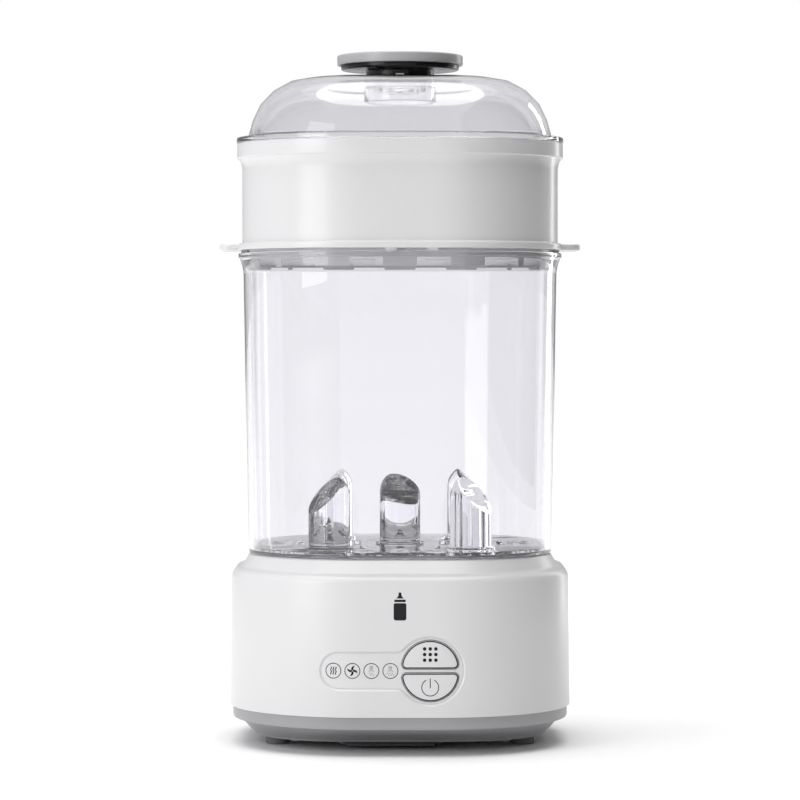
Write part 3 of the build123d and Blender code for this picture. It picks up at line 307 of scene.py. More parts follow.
def tint(tree, value, shader, dark, light):
    """Varies the base colour gently between two tones."""
    ramp = tree.nodes.new("ShaderNodeValToRGB")
    ramp.color_ramp.elements[0].position = 0.3
    ramp.color_ramp.elements[0].color = (*dark, 1)
    ramp.color_ramp.elements[1].position = 0.7
    ramp.color_ramp.elements[1].color = (*light, 1)
    tree.links.new(value, ramp.inputs["Fac"])
    tree.links.new(ramp.outputs["Color"], shader.inputs["Base Color"])


def bump(tree, value, shader, strength, distance):
    node = tree.nodes.new("ShaderNodeBump")
    node.inputs["Strength"].default_value = strength
    node.inputs["Distance"].default_value = distance
    tree.links.new(value, node.inputs["Height"])
    tree.links.new(node.outputs["Normal"], shader.inputs["Normal"])


def plastic(name, base, roughness, grain=1400.0, depth=0.1, shade=0.03, coat=0.0, gloss=0.5):
    """Moulded plastic: fine spark-eroded grain, slight tone and gloss variation."""
    material, tree, shader, place = new_material(name, base, roughness)
    shader.inputs["IOR"].default_value = 1.5
    shader.inputs["Coat Weight"].default_value = coat
    shader.inputs["Coat Roughness"].default_value = 0.05
    shader.inputs["Specular IOR Level"].default_value = gloss
    broad = noise(tree, place, 22.0, 2.0)
    dark = [channel * (1 - shade) for channel in base]
    tint(tree, broad, shader, dark, base)
    vary(tree, noise(tree, place, 60.0, 2.0), roughness * 0.96, roughness * 1.04,
         shader.inputs["Roughness"])
    bump(tree, noise(tree, place, grain, 2.0), shader, depth, 0.00005)
    return material


def clear_plastic(name, base, roughness, index=1.49):
    """Clear moulded plastic: polished, with faint flow marks."""
    material, tree, shader, place = new_material(name, base, roughness)
    shader.inputs["Transmission Weight"].default_value = 1.0
    shader.inputs["IOR"].default_value = index
    vary(tree, noise(tree, place, 9.0, 2.0), roughness, roughness + 0.012,
         shader.inputs["Roughness"])
    bump(tree, noise(tree, place, 16.0, 1.0), shader, 0.05, 0.0004)
    return material


def metal(name, base, roughness, grain=(900.0, 900.0, 40.0), depth=0.15):
    """Metal with a directional grain; the grain scales set which way it runs."""
    material, tree, shader, place = new_material(name, base, roughness)
    shader.inputs["Metallic"].default_value = 1.0
    mapping = tree.nodes.new("ShaderNodeMapping")
    mapping.inputs["Scale"].default_value = grain
    tree.links.new(place, mapping.inputs["Vector"])
    lines = noise(tree, mapping.outputs["Vector"], 1.0, 3.0)
    vary(tree, lines, roughness * 0.8, roughness * 1.25, shader.inputs["Roughness"])
    bump(tree, lines, shader, depth, 0.00004)
    return material


def rubbery(name, base):
    material, tree, shader, place = new_material(name, base, 0.7)
    shader.inputs["Specular IOR Level"].default_value = 0.35
    tint(tree, noise(tree, place, 80.0, 3.0), shader, [c * 0.9 for c in base], base)
    bump(tree, noise(tree, place, 700.0, 3.0), shader, 0.25, 0.00008)
    return material


def filter_paper(name):
    material, tree, shader, place = new_material(name, (0.74, 0.76, 0.78), 0.95)
    shader.inputs["Sheen Weight"].default_value = 0.3
    tint(tree, noise(tree, place, 500.0, 5.0, 0.7), shader, (0.62, 0.64, 0.66),
         (0.78, 0.80, 0.82))
    bump(tree, noise(tree, place, 900.0, 5.0, 0.7), shader, 0.5, 0.0002)
    return material


def braided_sleeve(name):
    material, tree, shader, place = new_material(name, (0.6, 0.58, 0.52), 0.8)
    weave = tree.nodes.new("ShaderNodeTexWave")
    weave.inputs["Scale"].default_value = 260.0
    weave.inputs["Distortion"].default_value = 1.5
    tree.links.new(place, weave.inputs["Vector"])
    tint(tree, weave.outputs["Fac"], shader, (0.46, 0.44, 0.38), (0.66, 0.63, 0.56))
    bump(tree, weave.outputs["Fac"], shader, 0.4, 0.0002)
    return material


def solder_mask(name):
    material, tree, shader, place = new_material(name, (0.02, 0.16, 0.05), 0.3)
    shader.inputs["Coat Weight"].default_value = 0.6
    tracks = tree.nodes.new("ShaderNodeTexVoronoi")
    tracks.feature = "DISTANCE_TO_EDGE"
    tracks.inputs["Scale"].default_value = 190.0
    tree.links.new(place, tracks.inputs["Vector"])
    ramp = tree.nodes.new("ShaderNodeValToRGB")
    ramp.color_ramp.elements[0].position = 0.08
    ramp.color_ramp.elements[0].color = (0.015, 0.11, 0.035, 1)
    ramp.color_ramp.elements[1].position = 0.12
    ramp.color_ramp.elements[1].color = (0.03, 0.2, 0.06, 1)
    tree.links.new(tracks.outputs["Distance"], ramp.inputs["Fac"])
    tree.links.new(ramp.outputs["Color"], shader.inputs["Base Color"])
    bump(tree, tracks.outputs["Distance"], shader, 0.1, 0.00005)
    return material


def lamp_lens(name):
    material, tree, shader, place = new_material(name, (0.85, 0.8, 0.6), 0.15)
    shader.inputs["Subsurface Weight"].default_value = 0.2
    tint(tree, noise(tree, place, 200.0), shader, (0.8, 0.74, 0.52), (0.88, 0.84, 0.66))
    return material


MAKERS = {
    "white housing plastic": lambda: plastic("white housing plastic", colours().white, 0.3,
                                             shade=0.012),
    "white tray plastic": lambda: plastic("white tray plastic", colours().white, 0.24, depth=0.05,
                                          shade=0.012),
    "grey plastic": lambda: plastic("grey plastic", colours().grey, 0.38, 900.0, 0.2, 0.05),
    "pale grey plastic": lambda: plastic("pale grey plastic", (0.46, 0.46, 0.47), 0.3, 900.0, 0.1,
                                         0.04),
    "dark plastic": lambda: plastic("dark plastic", colours().dark, 0.5, 700.0, 0.3, 0.12),
    "gloss black plastic": lambda: plastic("gloss black plastic", colours().black, 0.22, 300.0,
                                           0.02, 0.1, 0.1, 0.25),
    "clear plastic": lambda: clear_plastic("clear plastic", colours().clear, 0.0),
    "thin clear plastic": lambda: clear_plastic("thin clear plastic", colours().thin_clear, 0.0,
                                                1.2),
    "light guide plastic": lambda: clear_plastic("light guide plastic", (0.95, 0.95, 0.95), 0.1),
    "panel film": lambda: plastic("panel film", colours().white, 0.35, 2200.0, 0.08, 0.01),
    "symbol ink": lambda: plastic("symbol ink", colours().ink, 0.5, 1500.0, 0.1, 0.05, 0.0,
                                  0.1),
    "pale symbol ink": lambda: plastic("pale symbol ink", (0.2, 0.2, 0.21), 0.45, 1500.0, 0.1,
                                       0.05),
    "brushed steel": lambda: metal("brushed steel", (0.6, 0.6, 0.61), 0.24),
    "zinc plate": lambda: metal("zinc plate", (0.52, 0.53, 0.52), 0.35, (300.0,) * 3),
    "cast alloy": lambda: metal("cast alloy", (0.55, 0.55, 0.56), 0.5, (500.0,) * 3, 0.5),
    "silicone": lambda: rubbery("silicone", (0.62, 0.62, 0.62)),
    "foot rubber": lambda: rubbery("foot rubber", (0.16, 0.16, 0.165)),
    "ceramic": lambda: plastic("ceramic", (0.72, 0.70, 0.64), 0.25, 400.0, 0.1, 0.04, 0.3),
    "phenolic": lambda: plastic("phenolic", (0.03, 0.022, 0.02), 0.45, 600.0, 0.2, 0.2),
    "solder mask": lambda: solder_mask("solder mask"),
    "component black": lambda: plastic("component black", (0.018, 0.018, 0.02), 0.5, 800.0, 0.2),
    "component blue": lambda: plastic("component blue", (0.03, 0.08, 0.24), 0.25, 800.0, 0.05),
    "terminal green": lambda: plastic("terminal green", (0.02, 0.2, 0.07), 0.3, 800.0, 0.05),
    "braided sleeve": lambda: braided_sleeve("braided sleeve"),
    "filter paper": lambda: filter_paper("filter paper"),
    "lamp lens": lambda: lamp_lens("lamp lens"),
}
SLOT_FINISH = {
    "white_abs": "white housing plastic", "white_pp": "white tray plastic",
    "grey_abs": "grey plastic", "dark_plastic": "dark plastic",
    "black_gloss": "gloss black plastic", "clear_plastic": "clear plastic",
    "light_guide": "light guide plastic", "panel_film": "panel film", "steel": "brushed steel",
    "zinc": "zinc plate", "cast_alloy": "cast alloy", "silicone": "silicone",
    "rubber": "foot rubber", "ceramic": "ceramic", "phenolic": "phenolic",
    "circuit_board": "solder mask", "component_black": "component black",
    "component_blue": "component blue", "terminal_green": "terminal green",
    "lead_sleeve": "braided sleeve", "filter_media": "filter paper", "lamp": "lamp lens",
}


def finish(name):
    """A named finish, made the first time that it is asked for."""
    return bpy.data.materials.get(name) or MAKERS[name]()


# ---------------------------------------------------------------- sizes read from the frame
@functools.lru_cache(maxsize=None)
def cad_box(node):
    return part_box(node)


def low(node, axis=2):
    """Lowest coordinate of a CAD node along an axis."""
    return cad_box(node)[0][axis]


def high(node, axis=2):
    return cad_box(node)[1][axis]


def half(node, axis=0):
    """Half the width of a CAD node along an axis."""
    return (high(node, axis) - low(node, axis)) / 2


def middle(node, axis=1):
    return (high(node, axis) + low(node, axis)) / 2


def wall_half(height):
    """Half width of the housing's drafted wall at a height."""
    size = sizes()
    foot, top = low("base_housing"), high("base_housing") - size.collar + size.shoulder_rise
    return half("base_housing") - size.draft * (height - foot) / (top - foot)


# ---------------------------------------------------------------- outlines
def trace(start, *moves):
    """Closed wire in the XZ plane. A move is an end point, with the degrees turned and the
    steps taken on the way where it is an arc; turning to the left counts as positive."""
    bm = bmesh.new()
    vert = bm.verts.new((start[0], 0, start[1]))
    for across, up, *arc in moves:
        end = Vector((across, 0, up))
        if arc:
            turn, steps = math.radians(arc[0]), arc[1] if len(arc) > 1 else 8
            chord = end - vert.co
            left = Vector((-chord.z, 0, chord.x))
            centre = (vert.co + end) / 2 + left / 2 / math.tan(turn / 2)
            out = bmesh.ops.spin(bm, geom=[vert], cent=centre, axis=(0, -1, 0), angle=turn,
                                 steps=steps)
            vert = verts_of(out["geom_last"])[0]
        else:
            vert = bmesh.ops.extrude_vert_indiv(bm, verts=[vert])["verts"][0]
            vert.co = end
    bmesh.ops.remove_doubles(bm, verts=bm.verts, dist=1e-6)
    return bm


def plate(bm, front, back):
    """Fills a wire in the XZ plane and gives it thickness between two depths."""
    bmesh.ops.contextual_create(bm, geom=list(bm.edges))
    bmesh.ops.translate(bm, verts=bm.verts, vec=(0, front, 0))
    out = bmesh.ops.extrude_face_region(bm, geom=list(bm.faces))
    bmesh.ops.translate(bm, verts=verts_of(out["geom"]), vec=(0, back - front, 0))
    bmesh.ops.recalc_face_normals(bm, faces=bm.faces)
    return bm


def bridge(first, second):
    """Solid between two wires with equal numbers of points."""
    bm = join(first, second)
    bmesh.ops.bridge_loops(bm, edges=list(bm.edges))
    return cap_holes(bm)


def rectangle(half_x, half_y, corner, height, steps=32):
    """Level rounded rectangle as a closed wire."""
    x, y = half_x - corner, half_y - corner
    bm = bmesh.new()
    vert = bm.verts.new((half_x, -y, height))
    for turn, (cx, cy) in enumerate(((x, y), (-x, y), (-x, -y), (x, -y))):
        vert = bmesh.ops.extrude_vert_indiv(bm, verts=[vert])["verts"][0]
        arm = Matrix.Rotation(turn * math.pi / 2, 3, "Z") @ Vector((corner, 0, 0))
        vert.co = Vector((cx, cy, height)) + arm
        out = bmesh.ops.spin(bm, geom=[vert], cent=(cx, cy, height), axis=(0, 0, 1),
                             angle=math.pi / 2, steps=steps)
        vert = verts_of(out["geom_last"])[0]
    bmesh.ops.remove_doubles(bm, verts=bm.verts, dist=1e-6)
    return bm


def stack(*levels):
    """Solid through level rounded rectangles (half x, half y, corner, height) in order."""
    bm = rectangle(*levels[0])
    last = list(bm.edges)
    for shape in levels[1:]:
        join(bm, rectangle(*shape))
        fresh = [edge for edge in bm.edges if edge.is_wire and edge not in last]
        if not fresh:
            raise RuntimeError("a level of the stack is empty")
        bmesh.ops.bridge_loops(bm, edges=last + fresh)
        last = fresh
    return cap_holes(bm)


def square(half_width, height):
    """Level of a stack with the shared corner centres."""
    return half_width, half_width, half_width - sizes().flat, height


def slab(half_width, low_z, high_z, rounding=0.0):
    """Solid rounded square between two heights."""
    inner = sizes().flat * 2
    return cap_holes(sweep_square([(inner, low_z, 0), (half_width, low_z, rounding),
                                   (half_width, high_z, rounding), (inner, high_z, 0)],
                                  closed=False))


def follow_wall(bm, spacing=2 * MM):
    """Bends flat panel work onto the housing wall; its y is the depth below the wall's face."""
    flat = sizes().flat
    left = min(vert.co.x for vert in bm.verts)
    right = max(vert.co.x for vert in bm.verts)
    for step in range(1, math.ceil((right - left) / spacing)):
        bmesh.ops.bisect_plane(bm, geom=[*bm.verts, *bm.edges, *bm.faces], dist=1e-7,
                               plane_co=(left + step * spacing, 0, 0), plane_no=(1, 0, 0))
    for vert in bm.verts:
        radius = wall_half(vert.co.z) - flat - vert.co.y
        across = max(abs(vert.co.x) - flat, 0)
        vert.co.y = -flat - math.sqrt(radius**2 - across**2)
    return bm


def ring_wire(radius, x, z, steps=32):
    bm = bmesh.new()
    matrix = Matrix.Translation((x, 0, z)) @ Matrix.Rotation(math.pi / 2, 4, "X")
    bmesh.ops.create_circle(bm, cap_ends=False, radius=radius, segments=steps, matrix=matrix)
    return bm


def panel_outline(grow):
    """Lamp strip that flows into the ring round the keys."""
    size = sizes()
    x, z = key_centre()
    radius = half("panel_overlay", 2) + size.film_trim + grow
    strip, bend = size.strip_half + grow, size.strip_bend - grow
    start_x = low("panel_overlay", 0) - size.film_trim + size.strip_half
    reach = math.sqrt((radius + bend) ** 2 - (strip + bend) ** 2)
    touch = Vector((-reach, strip + bend)) * radius / (radius + bend)
    inner = -math.degrees(math.atan2(reach, strip + bend))
    outer = 360 - 2 * math.degrees(math.atan2(strip + bend, reach))
    return trace((start_x, z + strip), (start_x, z - strip, 180, 24), (x - reach, z - strip),
                 (x + touch.x, z - touch.y, inner, 10), (x + touch.x, z + touch.y, outer, 56),
                 (x - reach, z + strip, inner, 10), (start_x, z + strip))


def key_outline(upper, grow):
    """D-shaped key with rounded corners, its flat side towards the other key."""
    size = sizes()
    x, z = key_centre()
    side = 1 if upper else -1
    radius, corner = size.key_radius + grow, size.key_corner + grow
    flat = size.key_split / 2 - grow
    rise = flat + corner - size.key_split / 2
    reach = math.sqrt((radius - corner) ** 2 - rise**2)
    lean = math.atan2(rise, reach)
    edge_x = radius * math.cos(lean)
    edge_z = z + side * (size.key_split / 2 + radius * math.sin(lean))
    turn = 90 + math.degrees(lean)
    return trace((x - reach, z + side * flat), (x + reach, z + side * flat),
                 (x + edge_x, edge_z, side * turn, 10),
                 (x - edge_x, edge_z, side * (180 - 2 * math.degrees(lean)), 40),
                 (x - reach, z + side * flat, side * turn, 10))


def key_centre():
    return middle("mode_button", 0), middle("panel_overlay", 2)


# ---------------------------------------------------------------- printed symbols
INK_DEPTH = 0.1 * MM
INK_RAISE = 0.04 * MM


def print_at(bm, depth):
    """Gives flat faces in the XZ plane an ink film's thickness at a depth below the wall."""
    bmesh.ops.recalc_face_normals(bm, faces=bm.faces)
    bmesh.ops.translate(bm, verts=bm.verts, vec=(0, depth - INK_RAISE, 0))
    out = bmesh.ops.extrude_face_region(bm, geom=list(bm.faces))
    bmesh.ops.translate(bm, verts=verts_of(out["geom"]), vec=(0, INK_DEPTH, 0))
    return bm


def dot(radius, x, z):
    bm = ring_wire(radius, x, z)
    bmesh.ops.contextual_create(bm, geom=list(bm.edges))
    return bm


def stroke(bm, width):
    """Gives a wire a constant width along X."""
    out = bmesh.ops.extrude_edge_only(bm, edges=list(bm.edges))
    bmesh.ops.translate(bm, verts=bm.verts, vec=(-width / 2, 0, 0))
    bmesh.ops.translate(bm, verts=verts_of(out["geom"]), vec=(width, 0, 0))
    return bm


def arc_band(radius, width, x, z, start, sweep):
    """Part of a flat ring, from a start angle through a sweep, both in degrees."""
    bm = bmesh.new()
    turn = Matrix.Rotation(-math.radians(start), 3, "Y")
    ends = [bm.verts.new(turn @ Vector((radius + side * width / 2, 0, 0))) for side in (-1, 1)]
    edge = bm.edges.new(ends)
    bmesh.ops.spin(bm, geom=[*ends, edge], cent=(0, 0, 0), axis=(0, -1, 0),
                   angle=math.radians(sweep), steps=math.ceil(abs(sweep) / 7.5))
    bmesh.ops.remove_doubles(bm, verts=bm.verts, dist=1e-7)
    bmesh.ops.translate(bm, verts=bm.verts, vec=(x, 0, z))
    return bm


def wave(x, z, height, width):
    """Rising wavy stroke made of four arcs that swing left and right."""
    step, swing = height / 4, math.radians(96)
    offset = step / 2 / math.tan(swing / 2)
    bm = bmesh.new()
    vert = bm.verts.new((x, 0, z - height / 2))
    for part in range(4):
        side = 1 if part % 2 else -1
        centre = (x - side * offset, 0, vert.co.z + step / 2)
        out = bmesh.ops.spin(bm, geom=[vert], cent=centre, axis=(0, -side, 0), angle=swing,
                             steps=6)
        vert = verts_of(out["geom_last"])[0]
    bmesh.ops.remove_doubles(bm, verts=bm.verts, dist=1e-7)
    return stroke(bm, width)


def blade(x, z, turn):
    """One curved fan blade that starts near the hub."""
    bm = trace((-0.55 * MM, 0.45 * MM), (1.35 * MM, 2.65 * MM, -120), (0.5 * MM, 0.15 * MM, 55),
               (-0.55 * MM, 0.45 * MM))
    bmesh.ops.contextual_create(bm, geom=list(bm.edges))
    bmesh.ops.rotate(bm, verts=bm.verts, cent=(0, 0, 0),
                     matrix=Matrix.Rotation(math.radians(turn), 3, "Y"))
    bmesh.ops.translate(bm, verts=bm.verts, vec=(x, 0, z))
    return bm


def filled(bm):
    bmesh.ops.contextual_create(bm, geom=list(bm.edges))
    return bm


def bottle_picture(x, z):
    """Plain sign of a feeding bottle: body, collar and teat."""
    def at(across, up):
        return x + across * MM, z + up * MM

    body = filled(trace(at(-2.7, 4.6), (*at(-3.4, 3.6), 50), at(-3.4, -3.4),
                        (*at(-2.2, -4.6), 90), at(2.2, -4.6), (*at(3.4, -3.4), 90), at(3.4, 3.6),
                        (*at(2.7, 4.6), 50), at(-2.7, 4.6)))
    collar = filled(trace(at(-3.0, 5.2), at(3.0, 5.2), at(3.0, 6.5), at(-3.0, 6.5), at(-3.0, 5.2)))
    teat = filled(trace(at(-2.2, 7.1), at(2.2, 7.1), (*at(0.8, 8.9), -50), at(0.8, 9.6),
                        (*at(-0.8, 9.6), 180), at(-0.8, 8.9), (*at(-2.2, 7.1), -50)))
    return join(body, collar, teat)


def lamp_ring(x, z):
    return arc_band(4.0 * MM, 0.42 * MM, x, z, 0, 360)


# ---------------------------------------------------------------- pieces of the base
def pieces_body(name):
    """Body that a CAD node belongs to."""
    return next(body for body, nodes in frame["record"]["behaviour"]["bodies"].items()
                if name in nodes)


class STERILIZER_OT_housing(bpy.types.Operator):
    """White housing with its collar, seat, deck and panel recess"""

    bl_idname = "sterilizer.housing"
    bl_label = "Housing"

    def execute(self, context):
        size = sizes()
        foot, top, wide = low("base_housing"), high("base_housing"), half("base_housing")
        shoulder_z, deck = top - size.collar, top - size.deck_depth
        shoulder, lip = wide - size.draft, wide - size.draft - size.collar_inset
        seat, under, core = lip - size.wall, deck - size.wall, 2 * size.flat
        bm = cap_holes(sweep_square([
            (core, under, 0), (shoulder - size.wall - size.draft, under, 3 * MM),
            (wide - size.wall, foot, 0.3 * MM), (wide, foot, 0.4 * MM),
            (shoulder, shoulder_z + size.shoulder_rise, size.shoulder),
            (lip + size.collar_lean, shoulder_z + size.shoulder_rise + 0.8 * MM, 1.2 * MM),
            (lip, top, 0.8 * MM), (seat, top, 0.5 * MM),
            (seat, deck, 1.2 * MM), (core, deck, 0)], closed=False))
        seal_y = middle("plate_seal")
        well = drum(half("heating_plate") - size.dish_lip, under - MM, deck + MM, (0, seal_y), 96)
        vent = box_mesh((low("air_outlet", 0) + 3 * MM, middle("air_outlet") - 5 * MM, under - MM),
                        (high("air_outlet", 0) - 3 * MM, middle("air_outlet") + 5 * MM, deck + MM))
        gland_z = middle("cord_gland", 2)
        bore = drum(half("cord_gland") + 0.2 * MM, wide - 4 * MM, wide + MM)
        bmesh.ops.rotate(bore, verts=bore.verts, cent=(0, 0, 0),
                         matrix=Matrix.Rotation(-math.pi / 2, 3, "X"))
        bmesh.ops.translate(bore, verts=bore.verts, vec=(0, 0, gland_z))
        slope = size.pocket_slope
        pocket = panel_outline(0)
        bmesh.ops.translate(pocket, verts=pocket.verts, vec=(0, size.pocket, 0))
        mouth = panel_outline(2 * slope)
        bmesh.ops.translate(mouth, verts=mouth.verts, vec=(0, -size.pocket, 0))
        pocket = follow_wall(bridge(pocket, mouth))
        cutters = [well, vent, bore, pocket]
        for upper in (True, False):
            cutters.append(follow_wall(plate(key_outline(upper, size.key_line / 2),
                                             -2 * MM, 2 * size.wall)))
        bm = combine(bm, "DIFFERENCE", *cutters)
        make_piece("housing", bm, "base", finish("white housing plastic"), ["base_housing"],
                   30)
        return {"FINISHED"}


class STERILIZER_OT_tub(bpy.types.Operator):
    """Grey tub with the band round its top, screw sockets, filter bay and cover rails"""

    bl_idname = "sterilizer.tub"
    bl_label = "Tub and band"

    def execute(self, context):
        size = sizes()
        foot, top, wide = high("rubber_feet", 2), high("bottom_cover"), half("bottom_cover")
        foot = low("base_housing") - 16.8 * MM
        top = low("base_housing")
        band = top - 7 * MM
        wall, flat = size.wall, size.flat
        waist = foot + 4.6 * MM
        mouth = wide - 4.4 * MM
        tub_x, tub_y, corner = size.tub_x, size.tub_y, size.tub_corner
        bm = stack((tub_x - 0.8 * MM, tub_y - 0.8 * MM, corner - 0.8 * MM, foot),
                   (tub_x - 0.2 * MM, tub_y - 0.2 * MM, corner - 0.2 * MM, foot + 0.3 * MM),
                   (tub_x, tub_y, corner, foot + 0.9 * MM),
                   (tub_x + 3.4 * MM, tub_y + 7 * MM, corner + 4 * MM, waist),
                   square(mouth, band), square(wide - 1.8 * MM, band),
                   square(wide - 0.5 * MM, band + 0.5 * MM), square(wide, band + 1.8 * MM),
                   square(wide, top - 0.3 * MM), square(wide - 0.3 * MM, top - HAIR),
                   square(wide - wall, top - HAIR), square(wide - wall, band + wall),
                   square(mouth - wall, band + wall),
                   (tub_x + 3.4 * MM - wall, tub_y + 7 * MM - wall, corner + 4 * MM - wall, waist),
                   (tub_x - wall, tub_y - wall, corner - wall, foot + wall))
        sockets = [drum(3.2 * MM, foot - MM, foot + 1.9 * MM, (x, y), 32)
                   for x in (-56 * MM, 56 * MM) for y in (-46 * MM, 46 * MM)]
        bay_x, bay_y = middle("air_filter", 0), middle("air_filter")
        bay_half = half("air_filter") + 0.4 * MM
        bay = box_mesh((bay_x - bay_half, bay_y - bay_half, foot - MM),
                       (bay_x + bay_half, bay_y + bay_half, foot + 7 * MM))
        bm = combine(bm, "DIFFERENCE", bay, *sockets)
        make_piece("tub", bm, "base", finish("grey plastic"), ["bottom_cover"], 25)
        rails = bmesh.new()
        edge = high("filter_cover", 0) - bay_x
        for side in (-1, 1):
            inner, outer = bay_x + side * (edge + 0.3 * MM), bay_x + side * (edge + 2 * MM)
            lip = bay_x + side * (edge - 1.7 * MM)
            start, end = low("filter_cover", 1) + 8 * MM, high("filter_cover", 1) - 2 * MM
            base = low("filter_cover") + 0.2 * MM
            for near, low_z, high_z in ((inner, base, foot), (lip, base, base + 0.8 * MM)):
                near_x, far_x = sorted((near, outer))
                join(rails, soften(box_mesh((near_x, start, low_z), (far_x, end, high_z)),
                                   0.2 * MM))
        make_piece("cover_rails", rails, "base", finish("grey plastic"))
        return {"FINISHED"}


class STERILIZER_OT_feet(bpy.types.Operator):
    """Four rubber feet"""

    bl_idname = "sterilizer.feet"
    bl_label = "Rubber feet"

    def execute(self, context):
        radius = 6.35 * MM
        top = low("base_housing") - 16.8 * MM
        feet = bmesh.new()
        for sx in (-1, 1):
            for sy in (-1, 1):
                centre = (sx * (half("rubber_feet") - radius), sy * (half("rubber_feet", 1) - radius))
                join(feet, sweep_round([(0, 0.4 * MM, 0), (radius * 0.6, 0.4 * MM, 0.3 * MM),
                                        (radius * 0.68, 0, 0.3 * MM), (radius, 0, 0.9 * MM),
                                        (radius, top - HAIR, 0.4 * MM), (0, top - HAIR, 0)],
                                       48, centre))
        make_piece("feet", feet, "base", finish("foot rubber"), ["rubber_feet"])
        return {"FINISHED"}


class STERILIZER_OT_filter_cover(bpy.types.Operator):
    """Sliding grille under the intake filter"""

    bl_idname = "sterilizer.filter_cover"
    bl_label = "Filter cover"

    def execute(self, context):
        left, right = low("filter_cover", 0) + 2 * MM, high("filter_cover", 0) - 2 * MM
        front, back = low("filter_cover", 1), high("filter_cover", 1)
        base, top = low("filter_cover"), high("filter_cover")
        body = soften(box_mesh((left, front, base), (right, back, top)), 0.5 * MM)
        tongues = box_mesh((left - 2 * MM, front + 6 * MM, base + 1.3 * MM),
                           (right + 2 * MM, back, top - 0.02 * MM))
        body = combine(body, "UNION", tongues)
        grip = box_mesh((left - MM, front - MM, base + 1.4 * MM),
                        (right + MM, front + 1.2 * MM, top + MM))
        slots = [soften(box_mesh((left + 6 * MM, front + (8 + 4.2 * i) * MM, base - MM),
                                 (right - 6 * MM, front + (10 + 4.2 * i) * MM, top + MM)),
                        0.6 * MM) for i in range(9)]
        body = combine(body, "DIFFERENCE", grip, *slots)
        make_piece("intake_cover", body, "filter_cover", finish("dark plastic"),
                   ["filter_cover"])
        return {"FINISHED"}


class STERILIZER_OT_panel(bpy.types.Operator):
    """Panel film in the recess, the two keys and the printed symbols"""

    bl_idname = "sterilizer.panel"
    bl_label = "Control panel"

    def key(self, upper, name, node):
        size = sizes()
        trim = -size.key_line / 2
        face = soften(plate(key_outline(upper, trim), size.key_set, 2 * size.wall - MM),
                      0.25 * MM, 60, 3)
        flange = plate(key_outline(upper, 1.2 * MM), size.wall + 0.3 * MM, size.wall + 1.5 * MM)
        body = follow_wall(combine(face, "UNION", flange))
        make_piece(name, body, node, finish("white housing plastic"), [node], 30)
        line = join(key_outline(upper, trim - 0.16 * MM), key_outline(upper, trim - 0.82 * MM))
        bmesh.ops.bridge_loops(line, edges=list(line.edges))
        return line

    def execute(self, context):
        size = sizes()
        film_face = size.pocket - size.film
        film = plate(panel_outline(-size.film_trim), film_face, size.pocket - HAIR)
        holes = [plate(key_outline(upper, size.key_line / 2), 0, 2 * size.pocket)
                 for upper in (True, False)]
        film = follow_wall(combine(film, "DIFFERENCE", *holes))
        make_piece("panel_film", film, "base", finish("panel film"), ["panel_overlay"],
                   30)
        x, z = key_centre()
        pitch = 3.0 * MM
        mode = self.key(True, "mode_key", "mode_button")
        for column in (-1, 0, 1):
            for row in (-1, 0, 1):
                join(mode, dot(0.95 * MM, x + column * pitch, z + 8.8 * MM + row * pitch))
        power = self.key(False, "power_key", "power_button")
        mark_z = z - 8.8 * MM
        join(power, arc_band(4.5 * MM, 0.45 * MM, x, mark_z, 119, 302))
        bar = filled(trace((x - 0.23 * MM, mark_z - 0.3 * MM), (x + 0.23 * MM, mark_z - 0.3 * MM),
                           (x + 0.23 * MM, mark_z + 4.9 * MM), (x - 0.23 * MM, mark_z + 4.9 * MM),
                           (x - 0.23 * MM, mark_z - 0.3 * MM)))
        join(power, bar)
        for name, marks, body in (("mode_marks", mode, "mode_button"),
                                  ("power_marks", power, "power_button")):
            marks = follow_wall(print_at(marks, size.key_set))
            make_piece(name, marks, body, finish("symbol ink"))
        dark, pale = bmesh.new(), bmesh.new()
        first = low("indicator_leds", 0) + 1.6 * MM
        last = high("indicator_leds", 0) - 1.6 * MM
        lamps = [first + (last - first) * i / 3 for i in range(4)]
        for lamp in lamps:
            join(dark, lamp_ring(lamp, z))
        for offset in (-1.25, 0, 1.25):
            join(dark, wave(lamps[0] + offset * MM, z, 4.2 * MM, 0.55 * MM))
        for turn in range(0, 360, 90):
            join(dark, blade(lamps[1], z, turn))
        for lamp, drops in ((lamps[2], 2), (lamps[3], 3)):
            for offset in (-0.7, 0, 0.7):
                join(pale, wave(lamp + offset * MM, z + 1.7 * MM, 2.0 * MM, 0.34 * MM))
            join(pale, arc_band(2.2 * MM, 0.3 * MM, lamp, z - 2.0 * MM, 50, 80))
            for row in range(2):
                for column in range(drops):
                    offset = (column - (drops - 1) / 2) * 1.3 + 0.35 * (2 * row - 1)
                    join(pale, dot(0.3 * MM, lamp + offset * MM, z - (1.3 + 0.9 * row) * MM))
        picture = bottle_picture(0, high("panel_overlay") + 14 * MM)
        make_piece("bottle_mark", follow_wall(print_at(picture, 0)), "base",
                   finish("symbol ink"))
        for name, marks, ink in (("lamp_marks", dark, "symbol ink"),
                                 ("lamp_details", pale, "pale symbol ink")):
            marks = follow_wall(print_at(marks, film_face))
            make_piece(name, marks, "base", finish(ink))
        return {"FINISHED"}


